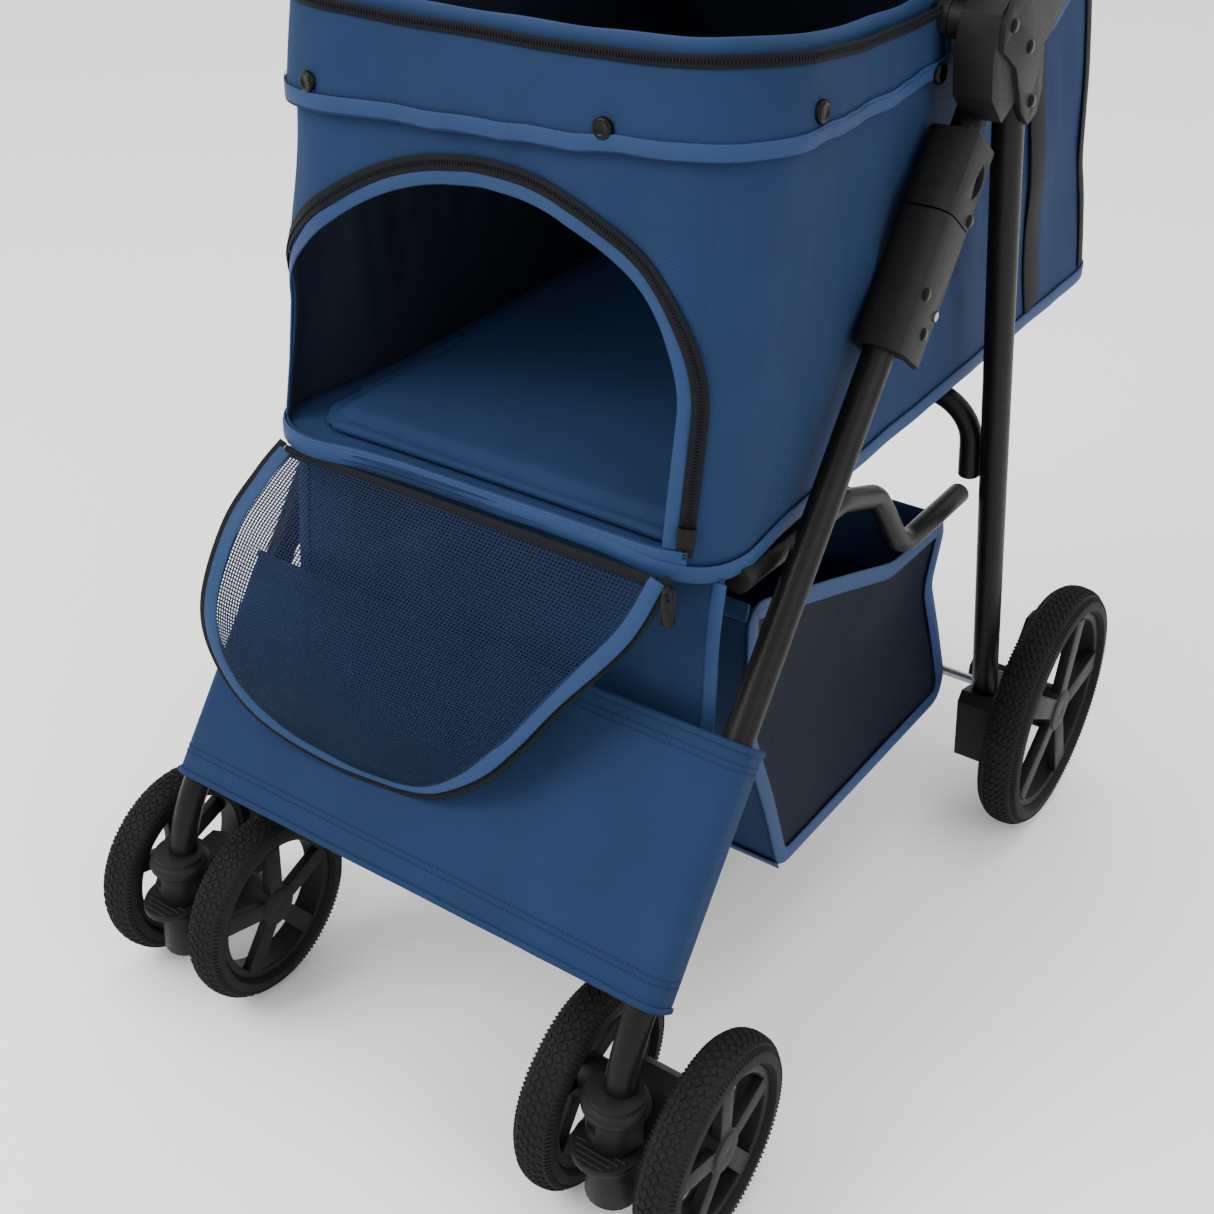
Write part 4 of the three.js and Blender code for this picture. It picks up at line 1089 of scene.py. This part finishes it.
def net(name, dark, light, pitch, opening):
    """Knitted mesh: threads cross pitch millimetres apart and the gaps between them are open."""
    material, tree, shader = start_material(name, Roughness=0.7, Specular_IOR_Level=0.1)
    flat = add_node(tree, "ShaderNodeUVMap", uv_map="cloth").outputs["UV"]
    wave = 0.314 * 1000 / pitch
    lines = []
    for direction in ("X", "Y"):
        made = add_node(tree, "ShaderNodeTexWave", {"Vector": flat, "Scale": wave, "Distortion": 0.0},
                        bands_direction=direction)
        lines.append(made.outputs["Fac"])
    thread_height = add_node(tree, "ShaderNodeMath", {0: lines[0], 1: lines[1]}, operation="MAXIMUM")
    solid = add_node(tree, "ShaderNodeMapRange", {"Value": thread_height.outputs[0],
                                                  "From Min": opening - 0.08, "From Max": opening + 0.08})
    place = add_node(tree, "ShaderNodeTexCoord").outputs["Object"]
    broad = add_node(tree, "ShaderNodeTexNoise", {"Vector": place, "Scale": 1000 / 50, "Detail": 4.0})
    tree.links.new(two_tones(tree, broad.outputs["Fac"], dark, light), shader.inputs["Base Color"])
    tree.links.new(solid.outputs["Result"], shader.inputs["Alpha"])
    bump = add_node(tree, "ShaderNodeBump", {"Height": thread_height.outputs[0], "Distance": 0.0002,
                                             "Strength": 0.7})
    tree.links.new(bump.outputs["Normal"], shader.inputs["Normal"])
    return material


# The net's threads are 1.8 mm apart, drawn at 2.2 mm, and a little under half of it is open.
door_net = net("navy_knitted_mesh", "#0a1324", "#12203a", 2.2, 0.72)
flap_front = Vector((0, -0.94, 0.342))
# The free edge, from each end of the hinge down to the tip.
plus_edge = [(140, 62, 421), (128, 44, 385), (93, 27, 336), (70, 14, 300), (49, 5, 274),
             (15, 3, 248), (-17, 5, 236)]
minus_edge = [(-158, 62, 421), (-162, 42, 406), (-166, 12, 378), (-167, -12, 330), (-158, -14, 290),
              (-130, -8, 254), (-75, 0, 236), (-17, 5, 236)]


def smooth_between(a, b, c, d, t):
    """A point of the smooth curve from b to c, with a before and d after."""
    return 0.5 * ((2 * b) + (c - a) * t + (2 * a - 5 * b + 4 * c - d) * t * t
                  + (3 * b - a - 3 * c + d) * t ** 3)


def curve_through(points, share):
    """The point at a share from 0 to 1 along a smooth curve through the points."""
    count = len(points) - 1
    i = min(int(share * count), count - 1)
    picks = [Vector(points[min(max(i + k, 0), count)]) for k in (-1, 0, 1, 2)]
    return smooth_between(*picks, share * count - i)


def flap_place(across, drop, out=0.0):
    """A point of the flap: across from 1 at +X to -1, drop from 0 at the hinge to 1 at the tip."""
    plus, minus = curve_through(plus_edge, drop), curve_through(minus_edge, drop)
    x, y, z = plus.lerp(minus, (1 - across) / 2)
    belly = 9 * math.sin(math.pi * drop) * (1 - across ** 2)
    pleat = 5 * noise.noise(Vector((x / 45 + drop * 1.5, drop * 2.2, 6))) * math.sin(math.pi * drop)
    return at(x, y, z) + flap_front * ((belly + pleat * (1 - across ** 4) + out) / 1000)


flap_rows = [[flap_place(across, drop) for across in steps_between(1, -1, 60)]
             for drop in steps_between(0, 1, 48)]
flap = cloth_piece("door_flap_net", [flap_rows], door_net, thickness=0.7)
belongs(flap, "door", "navy_mesh", "door_flap")
flap_middle = flap_place(0, 0.4)


def flap_edge(inset, out):
    """Places along the flap's free edge, inset millimetres from it."""
    places = []
    for side, run in ((1, steps_between(0, 0.99, 60)), (-1, steps_between(1, 0, 60))):
        for drop in run:
            point = flap_place(side, drop, out)
            places.append((point + (flap_middle - point).normalized() * (inset / 1000), flap_front))
    return places


belongs(tape("door_flap_binding", flap_edge(3, 0.6), 11, satin, thick=1.6), "door", "navy_fabric")
belongs(tape("door_flap_zip_tape", flap_edge(-4, -0.6), 7, zip_tape, thick=0.9), "door", "navy_fabric")
hinge_line = [(flap_place(across, 0.02, 0.8), flap_front) for across in steps_between(0.98, -0.98, 40)]
belongs(tape("door_flap_hinge_binding", hinge_line, 7, zip_tape, thick=1.0), "door", "navy_fabric")

# ---- hood ----------------------------------------------------------------------------------------
# The hood is one curved sheet of the same oxford over two plastic bows that turn on the knuckles. It
# reaches from the front bow back to the rim's rear edge, and sags a little between its seams.

CANOPY_HUB = (302, 706)


def bow_crown(degrees, length):
    a = math.radians(degrees)
    return CANOPY_HUB[0] + length * math.cos(a), CANOPY_HUB[1] + length * math.sin(a)


for node, x, length, lean in (("front_canopy_bow", 181.8, 213, 98), ("rear_canopy_bow", 173.2, 202, 58)):
    crown = bow_crown(lean, length)
    corners = [at(x, *CANOPY_HUB), at(x, *crown), at(-x, *crown), at(-x, *CANOPY_HUB)]
    bar = swept_mesh(bent_route(corners, 95, 16), round_section(4, 16))
    piece = new_object(f"{node}_rod", bar, nylon)
    eye = turned_mesh([(-4, 3.4), (-4, 12), (4, 12), (4, 3.4)], Vector((0, 0, 0)), 32)
    spare = bpy.data.meshes.new("eye")
    eye.to_mesh(spare)
    eye.free()
    joined = bmesh.new()
    joined.from_mesh(piece.data)
    for side in (1, -1):
        copy = spare.copy()
        copy.transform(Matrix.Translation(at(side * x, *CANOPY_HUB)))
        joined.from_mesh(copy)
        bpy.data.meshes.remove(copy)
    joined.to_mesh(piece.data)
    joined.free()
    belongs(piece, body_of[node], "black_plastic", node)


def hood_arch(half, base, crown, steps=60, shoulder=92):
    """An arch of straight sides and round shoulders in the plane of its base and crown."""
    height = math.hypot(crown[0] - base[0], crown[1] - base[1])
    shoulder = min(shoulder, height * 0.98)
    corners = [Vector((half, 0)), Vector((half, height - shoulder))]
    for k in range(1, 13):
        a = math.pi / 2 * k / 12
        corners.append(Vector((half - shoulder + shoulder * math.cos(a),
                               height - shoulder + shoulder * math.sin(a))))
    corners += [Vector((-c.x, c.y)) for c in reversed(corners)]
    lengths = [0.0]
    for a, b in zip(corners, corners[1:]):
        lengths.append(lengths[-1] + (b - a).length)
    line = []
    i = 0
    for k in range(steps + 1):
        want = lengths[-1] * k / steps
        while i < len(lengths) - 2 and lengths[i + 1] < want:
            i += 1
        share = (want - lengths[i]) / max(1e-9, lengths[i + 1] - lengths[i])
        x, h = corners[i].lerp(corners[i + 1], share)
        line.append(at(x, base[0] + (crown[0] - base[0]) * h / height,
                       base[1] + (crown[1] - base[1]) * h / height))
    return line


hood_ribs = [(167, (279, 742), bow_crown(102, 206)), (168, (292, 738), bow_crown(98, 208)),
             (168, (322, 733), bow_crown(78, 199)), (168, (352, 731), bow_crown(58, 197)),
             (168, (430, 728), (487, 828)), (168, (500, 724), (548, 772)), (168, (560, 717), (592, 722))]
hood_lines = [hood_arch(*rib) for rib in hood_ribs]


def hood_row(place, out=0.0):
    """The arch at a place from 0, the front hem, to the last rib."""
    i = min(int(place), len(hood_lines) - 2)
    t = place - i
    picks = [hood_lines[min(max(i + k, 0), len(hood_lines) - 1)] for k in (-1, 0, 1, 2)]
    row = []
    centre = at(0, 400, 720)
    sag = 4.0 * math.sin(math.pi * t) if i in (2, 3, 4) else 0.0
    for k, (a, b, c, d) in enumerate(zip(*picks)):
        point = smooth_between(a, b, c, d, t)
        outward = (point - centre).normalized()
        wave = 1.3 * noise.noise(Vector((point.x * 14, point.y * 14, point.z * 14)))
        row.append(point + outward * ((out + wave - sag) / 1000))
    return row


hood_rows = [hood_row(place) for place in steps_between(0, len(hood_lines) - 1.001, 66)]
# The hood's underside takes the darker cloth, painted shade under the hood.
hood = cloth_piece("hood_cloth", [hood_rows[::-1]], oxford, thickness=1.2, back=shade_inner_cloth)


def on_hood(piece, slot, *nodes):
    """Cloth and trims of the hood, baked in place on no body; the nodes they stand for are hidden."""
    if nodes:
        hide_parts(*nodes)
    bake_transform(piece)
    return piece


on_hood(hood, "navy_fabric", "canopy_front", "canopy_rear")


def hood_tape(name, place, width, material, thick=1.4, out=1.0):
    """A tape sewn over the hood along one arch."""
    centre = at(0, 400, 720)
    places = [(point, (point - centre).normalized()) for point in hood_row(place, out)]
    return tape(name, places, width, material, thick)


on_hood(hood_tape("hood_front_binding", 0.16, 14, satin, thick=2.0), "navy_fabric")
on_hood(hood_tape("hood_front_bow_sleeve", 1.02, 17, oxford, thick=2.4), "navy_fabric")
on_hood(hood_tape("hood_rear_bow_sleeve", 3.0, 15, oxford, thick=2.2), "navy_fabric")
on_hood(hood_tape("hood_mid_seam", 4.0, 7, satin, thick=1.2), "navy_fabric")
hood_seams = []
for place in (0.42, 1.42, 2.62, 3.36):
    centre = at(0, 400, 720)
    hood_seams.append([(point, (point - centre).normalized()) for point in hood_row(place, 0.9)])
on_hood(repeated("hood_stitches", hood_seams, stitch, thread, spacing=3.4), "navy_fabric")
for hand, side in SIDES:
    base = [row[0 if side > 0 else -1] for row in [hood_row(p, 1.0) for p in steps_between(0, 5.99, 60)]]
    places = [(point, Vector((side, 0, 0))) for point in base]
    on_hood(tape(f"hood_side_binding_{hand}", places, 12, satin, thick=1.8), "navy_fabric")

rear_hem = [cabin_wall(p, 714, 2.5) for p in steps_between(SIDE_END - 60, LOOP - SIDE_END + 60, 120)]
on_cabin(tape("hood_rear_hem", rear_hem, 26, oxford, thick=2.0), "navy_fabric")

# The hood's rear lower corner is a pointed tongue on each side that covers the rim's zip.
for hand, side in SIDES:
    tongue_rows = []
    for k in range(13):
        share = k / 12
        y_front = 402 + (478 - 402) * share
        y_back = 560 - (560 - 478) * share
        z = 726 - (726 - 664) * share
        row = []
        for y in steps_between(y_front, y_back, 14):
            point, _ = cabin_wall(side * side_place(y, min(z, RIM_Z)), min(z, RIM_Z), 4.0 + 2 * (1 - share))
            point.z = z / 1000
            row.append(point)
        tongue_rows.append(row if side < 0 else row[::-1])
    tongue = cloth_piece(f"hood_tongue_{hand}", [tongue_rows], oxford, thickness=1.0, inward=False)
    belongs(tongue, "seat_frame", "navy_fabric")
    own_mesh(tongue)
    front_edge = [(row[0 if side < 0 else -1] + Vector((side * 0.001, 0, 0)), Vector((side, 0, 0)))
                  for row in tongue_rows[:-1]]
    back_edge = [(row[-1 if side < 0 else 0] + Vector((side * 0.001, 0, 0)), Vector((side, 0, 0)))
                 for row in tongue_rows[-2::-1]]
    on_cabin(tape(f"hood_tongue_binding_{hand}", front_edge + back_edge, 9, satin, thick=1.6),
             "navy_fabric")

# ---- apron and front panel -----------------------------------------------------------------------
# The apron is a double layer of oxford that wraps both legs and is sewn to itself behind them. Above
# it a slack panel of the same cloth closes the gap up to the cabin's floor.

APRON_HALF, APRON_FRONT, APRON_LIP, APRON_CORNER = 202, -13.5, 11, 12


def apron_section(p):
    """The (x, behind) place at p in -1..1 along the apron's wrapped section."""
    flat = APRON_HALF - APRON_CORNER
    arc = APRON_CORNER * math.pi / 2
    lip = APRON_LIP - APRON_FRONT - APRON_CORNER
    run = abs(p) * (flat + arc + lip)
    side = 1 if p >= 0 else -1
    if run <= flat:
        return side * run, APRON_FRONT, 0, -1
    if run <= flat + arc:
        a = (run - flat) / APRON_CORNER
        return (side * (flat + APRON_CORNER * math.sin(a)), APRON_FRONT + APRON_CORNER * (1 - math.cos(a)),
                side * math.sin(a), -math.cos(a))
    return side * APRON_HALF, APRON_FRONT + APRON_CORNER + run - flat - arc, side, 0


APRON_LOW, APRON_HIGH = (177, 316)


def apron_place(p, share, out=0.0):
    """A point of the apron share of the way up, and its outward direction."""
    x, behind, nx, nb = apron_section(p)
    slack = max(0.0, 1 - (abs(x) / 178) ** 4)
    dip = -2.5 * slack * math.sin(math.pi * share)
    folds = slack * (1.6 * noise.noise(Vector((x / 60 + share * 1.3, share * 2, 8)))
                     + 0.6 * noise.noise(Vector((x / 21 + share * 3, share, 1))))
    lift = out + dip + folds
    z = APRON_LOW + (APRON_HIGH - APRON_LOW) * share
    normal = Vector((nx, 0, 0)) + LEG_BEHIND * nb
    point = at(x, leg_y(z), z) + LEG_BEHIND * (behind / 1000) + normal * (lift / 1000)
    return point, normal.normalized()


apron_rows = [[apron_place(p, share)[0] for p in steps_between(-1, 1, 120)]
              for share in steps_between(0, 1, 34)]
apron = cloth_piece("apron_cloth", [apron_rows], oxford, thickness=1.6)
belongs(apron, "front_frame", "navy_fabric", "apron")
for name, share in (("top", 0.985), ("bottom", 0.015)):
    places = [apron_place(p, share, 0.7) for p in steps_between(-1, 1, 120)]
    belongs(tape(f"apron_{name}_fold", places, 4, oxford, thick=1.6), "front_frame", "navy_fabric")
apron_seams = [[apron_place(p, share, 0.5) for p in steps_between(-0.99, 0.99, 120)]
               for share in (0.10, 0.125, 0.93, 0.905)]
belongs(repeated("apron_stitches", apron_seams, stitch, thread, spacing=3.4), "front_frame", "navy_fabric")


def panel_place(x, share):
    y = 83 + 6 * share
    z = 298 + (417 - 298) * share
    wave = 5 * noise.noise(Vector((x / 48, share * 1.2, 2))) * math.sin(math.pi * min(1, share * 0.9 + 0.1))
    return at(x, y + wave, z)


panel_rows = [[panel_place(x, share) for x in steps_between(-166, 166, 80)]
              for share in steps_between(0, 1, 20)]
panel = cloth_piece("front_panel_cloth", [panel_rows], oxford, thickness=1.0)
belongs(panel, "front_frame", "navy_fabric", "front_panel")
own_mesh(panel)
for hand, side in SIDES:
    places = [(panel_place(side * 164, share) + Vector((0, -0.001, 0)), Vector((0, -1, 0)))
              for share in steps_between(0.02, 0.98, 20)]
    piece = tape(f"front_panel_binding_{hand}", places, 9, satin, thick=1.6)
    belongs(piece, "front_frame", "navy_fabric")
    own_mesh(piece)

# ---- shopping basket ----------------------------------------------------------------------------
# A bag slung under the cabin from the rails and the rear bow: net at the sides and below, oxford in
# front and behind. Its edges are bound with satin tape and the cloth hangs in hollows between them.

basket_net = net("navy_basket_mesh", "#080d16", "#101826", 1.6, 0.26)
BASKET_HALF = 162
front_edge = [(211, 121), (178, 195), (143, 266), (132, 374)]
rear_edge = [(484, 119), (488, 136), (462, 192), (432, 252), (444, 302)]
top_edge = [(132, 374), (288, 326), (352, 306), (444, 302)]


def along_line(points, share):
    """The point a share of the way along a broken line of (y, z) points."""
    lengths = [math.dist(a, b) for a, b in zip(points, points[1:])]
    want = share * sum(lengths)
    for (a, b), length in zip(zip(points, points[1:]), lengths):
        if want <= length:
            t = want / length
            return (a[0] + (b[0] - a[0]) * t, a[1] + (b[1] - a[1]) * t)
        want -= length
    return points[-1]


def side_panel_place(u, v):
    """A (y, z) place in the basket's side: u from front to rear, v from bottom to top."""
    bottom = along_line([(211, 121), (484, 119)], u)
    top = along_line(top_edge, u)
    front = along_line(front_edge, v)
    rear = along_line(rear_edge, v)
    blend_y = ((1 - v) * bottom[0] + v * top[0] + (1 - u) * front[0] + u * rear[0]
               - ((1 - u) * (1 - v) * 211 + u * (1 - v) * 484 + (1 - u) * v * 132 + u * v * 444))
    blend_z = ((1 - v) * bottom[1] + v * top[1] + (1 - u) * front[1] + u * rear[1]
               - ((1 - u) * (1 - v) * 121 + u * (1 - v) * 119 + (1 - u) * v * 374 + u * v * 302))
    return blend_y, blend_z


def on_basket(piece, slot, *nodes):
    belongs(piece, "seat_frame", slot, *nodes)
    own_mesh(piece)
    return piece


def hollow(u, v, depth):
    return depth * (math.sin(math.pi * u) * math.sin(math.pi * v)) ** 0.8


patches = []
for side in (1, -1):
    rows = []
    for v in steps_between(0, 1, 40):
        row = []
        for u in steps_between(0, 1, 50):
            y, z = side_panel_place(u, v)
            inward = hollow(u, v, 9) + 1.6 * noise.noise(Vector((y / 60, z / 60, side)))
            row.append(at(side * (BASKET_HALF - (inward if 0 < u < 1 and 0 < v < 1 else 0)), y, z))
        rows.append(row)
    patches.append(rows if side > 0 else [row[::-1] for row in rows])
floor_rows = [[at(-x, y, 121 - 2 * (y - 211) / 273 - hollow((x + BASKET_HALF) / (2 * BASKET_HALF), u, 5))
               for x in steps_between(-BASKET_HALF, BASKET_HALF, 44)]
              for u, y in [(k / 50, 211 + 273 * k / 50) for k in range(51)]]
patches.append([row[::-1] for row in floor_rows][::-1])
basket = cloth_piece("basket_net", patches, basket_net, thickness=0.8)
on_basket(basket, "navy_mesh", "basket")

gussets = []
for line, sign in ((front_edge, 1), (rear_edge, -1)):
    rows = []
    for v in steps_between(0, 1, 40):
        y, z = along_line(line, v)
        row = []
        for x in steps_between(-BASKET_HALF, BASKET_HALF, 44):
            u = (x + BASKET_HALF) / (2 * BASKET_HALF)
            row.append(at(x, y + sign * hollow(u, v, 7), z))
        rows.append(row)
    gussets.append(rows if sign > 0 else [row[::-1] for row in rows])
for name, rows in zip(("front", "rear"), gussets):
    gusset = cloth_piece(f"basket_{name}_gusset", [rows], oxford, thickness=1.0)
    on_basket(gusset, "navy_fabric")

basket_outline = [(132, 374), (143, 266), (178, 195), (211, 121), (484, 119), (488, 136), (462, 192),
                  (432, 252), (444, 302), (352, 306), (288, 326)]
for hand, side in SIDES:
    corners = [at(side * (BASKET_HALF + 1.0), y, z) for y, z in basket_outline]
    loop = []
    for before, corner, after in zip(corners[-1:] + corners[:-1], corners, corners[1:] + corners[:1]):
        reach = min(0.012, (corner - before).length * 0.45, (after - corner).length * 0.45)
        start = corner + (before - corner).normalized() * reach
        end = corner + (after - corner).normalized() * reach
        for k in range(5):
            t = k / 4
            loop.append((1 - t) ** 2 * start + 2 * t * (1 - t) * corner + t * t * end)
    middle = sum(loop, Vector()) / len(loop)
    inset = []
    for point in loop:
        inward = (middle - point).normalized() * 0.005
        inset.append((point + inward, Vector((side, 0, 0))))
    on_basket(tape(f"basket_side_binding_{hand}", inset, 13, satin, thick=1.8, closed=True), "navy_fabric")
for name, (y, z), lean in (("front_top", (132, 372), (0, -1, 0.2)), ("rear_top", (443, 300), (0, 1, 0)),
                           ("front_bottom", (211, 122), (0, -1, -0.8)),
                           ("rear_bottom", (485, 121), (0, 1, -0.8))):
    out = Vector(lean).normalized()
    places = [(at(x, y, z) + out * 0.0012, out) for x in steps_between(-BASKET_HALF, BASKET_HALF, 24)]
    on_basket(tape(f"basket_{name}_binding", places, 12, satin, thick=1.6), "navy_fabric")

# ---- floor ---------------------------------------------------------------------------------------
# Two hardboard panels stiffen the cabin's floor, with a gap for the rear bow to pass when the frame
# folds. Oxford is sewn over and under them, and a thin pad filled with polyester wadding lies on top.

# Hardboard is pressed fibre, brown and slightly polished on its face.
hardboard = grained("pressed_hardboard", "#5a4632", "#705a43", 1.2, 0.04, roughness=0.6)
for node in ("floor_board_front", "floor_board_rear"):
    finished(node, hardboard, "hardboard", edge=0.5)


def floor_top(y):
    return 424 + 3 + 14 * (y - 68) / 624


# How far the wadding may lift the cloth, and where the edge seam runs, in millimetres.
PAD_RISE = 5.0
PAD_HALF, PAD_FRONT, PAD_BACK, PAD_CORNER = 158, 76, 674, 34
EDGE_SEAM = 15


def pad_mesh():
    """A slab with round corners, laid on the board."""
    mesh = bmesh.new()
    x1, y0, y1, radius = PAD_HALF, PAD_FRONT, PAD_BACK, PAD_CORNER
    outline = []
    for cx, cy, start in ((x1 - radius, y0 + radius, -90), (x1 - radius, y1 - radius, 0),
                          (-x1 + radius, y1 - radius, 90), (-x1 + radius, y0 + radius, 180)):
        for k in range(9):
            a = math.radians(start + 90 * k / 8)
            outline.append((cx + radius * math.cos(a), cy + radius * math.sin(a)))
    rings = [[mesh.verts.new(at(x, y, floor_top(y) + lift)) for x, y in outline] for lift in (4.6, 11.6)]
    mesh.faces.new(rings[0][::-1])
    mesh.faces.new(rings[1])
    for k in range(len(outline)):
        j = (k + 1) % len(outline)
        mesh.faces.new((rings[0][k], rings[0][j], rings[1][j], rings[1][k]))
    bmesh.ops.recalc_face_normals(mesh, faces=mesh.faces)
    return mesh


pad = new_object("floor_pad", pad_mesh(), oxford, smooth=80)
remesh = pad.modifiers.new("voxels", "REMESH")
remesh.mode = "VOXEL"
remesh.voxel_size = 0.005
settle(pad)
rest = [v.co.copy() for v in pad.data.vertices]
cloth = pad.modifiers.new("cloth", "CLOTH")
cloth.settings.use_pressure = True
cloth.settings.uniform_pressure_force = 4.0
cloth.settings.effector_weights.gravity = 0.0
cloth.settings.quality = 5
scene = bpy.context.scene
for step in range(1, 21):
    scene.frame_set(step)
settle(pad)
scene.frame_set(1)
for vert, before in zip(pad.data.vertices, rest):
    move = vert.co - before
    if move.length > PAD_RISE / 1000:
        move *= PAD_RISE / 1000 / move.length
    point = before + move
    y = (point.y - AXLE_Y) * 1000
    x = point.x * 1000
    base = (floor_top(y) + 4.3) / 1000
    lift = point.z - base
    edge = min(PAD_HALF - abs(x), y - PAD_FRONT, PAD_BACK - y)
    pinch = 1 - 0.5 * math.exp(-((edge - EDGE_SEAM) / 4.0) ** 2)
    point.z = base + max(0.0, lift) * pinch
    vert.co = point
flat = pad.data.uv_layers.new(name="cloth")
for loop, place in zip(pad.data.loops, flat.data):
    place.uv = pad.data.vertices[loop.vertex_index].co.xy
pad.data.shade_smooth()
belongs(pad, "seat_frame", "navy_fabric", "floor_mat")


def cabin_sheet(lift):
    """Rows of points right across the cabin inside its wall, lift millimetres over the boards' seat."""
    rows = []
    for p in steps_between(3, LOOP / 2 - 3, 110):
        z = floor_top(ring_place(p, BOTTOM["front"], BOTTOM["back"])[1]) + lift
        plus, minus = cabin_wall(p, z, -0.8)[0], cabin_wall(-p, z, -0.8)[0]
        rows.append([minus.lerp(plus, k / 30) for k in range(31)])
    return rows


for name, lift in (("floor", 4.2), ("underside", -0.3)):
    rows = cabin_sheet(lift)
    layer = cloth_piece(f"cabin_{name}_cloth", [rows if lift > 0 else rows[::-1]], oxford, thickness=0.6)
    on_cabin(layer, "navy_fabric")

for template in templates:
    bpy.data.objects.remove(template)

# ---- studio -----------------------------------------------------------------------------------
# A pale floor and large soft lights: a bright sky of even white, a broad key from the camera's left
# and above, and a weaker fill from the right.

floor_data = bpy.data.meshes.new("studio_floor")
reach = 30.0
floor_data.from_pydata([(-reach, -reach, 0), (reach, -reach, 0), (reach, reach, 0), (-reach, reach, 0)], [],
                       [(0, 1, 2, 3)])
studio_floor = bpy.data.objects.new("studio_floor", floor_data)
bpy.context.scene.collection.objects.link(studio_floor)
floor_paint, _, floor_shader = start_material("pale_paint", Roughness=0.9)
floor_shader.inputs["Base Color"].default_value = linear("#f4f4f4")
floor_data.materials.append(floor_paint)

world = bpy.data.worlds.new("studio")
world.use_nodes = True
world.node_tree.nodes["Background"].inputs["Color"].default_value = (1, 1, 1, 1)
world.node_tree.nodes["Background"].inputs["Strength"].default_value = 1.5
bpy.context.scene.world = world
for name, place, power, size in (("key", (-1.2, -1.9, 2.3), 80, 1.6), ("fill", (2.2, -0.6, 1.6), 26, 1.8),
                                 ("top", (0.1, 0.4, 2.8), 25, 1.6)):
    lamp_data = bpy.data.lights.new(name, "AREA")
    lamp_data.energy = power
    lamp_data.size = size
    lamp = bpy.data.objects.new(name, lamp_data)
    lamp.location = place
    lamp.rotation_mode = "QUATERNION"
    lamp.rotation_quaternion = (Vector((0, 0, 0.4)) - Vector(place)).to_track_quat("-Z", "Y")
    bpy.context.scene.collection.objects.link(lamp)
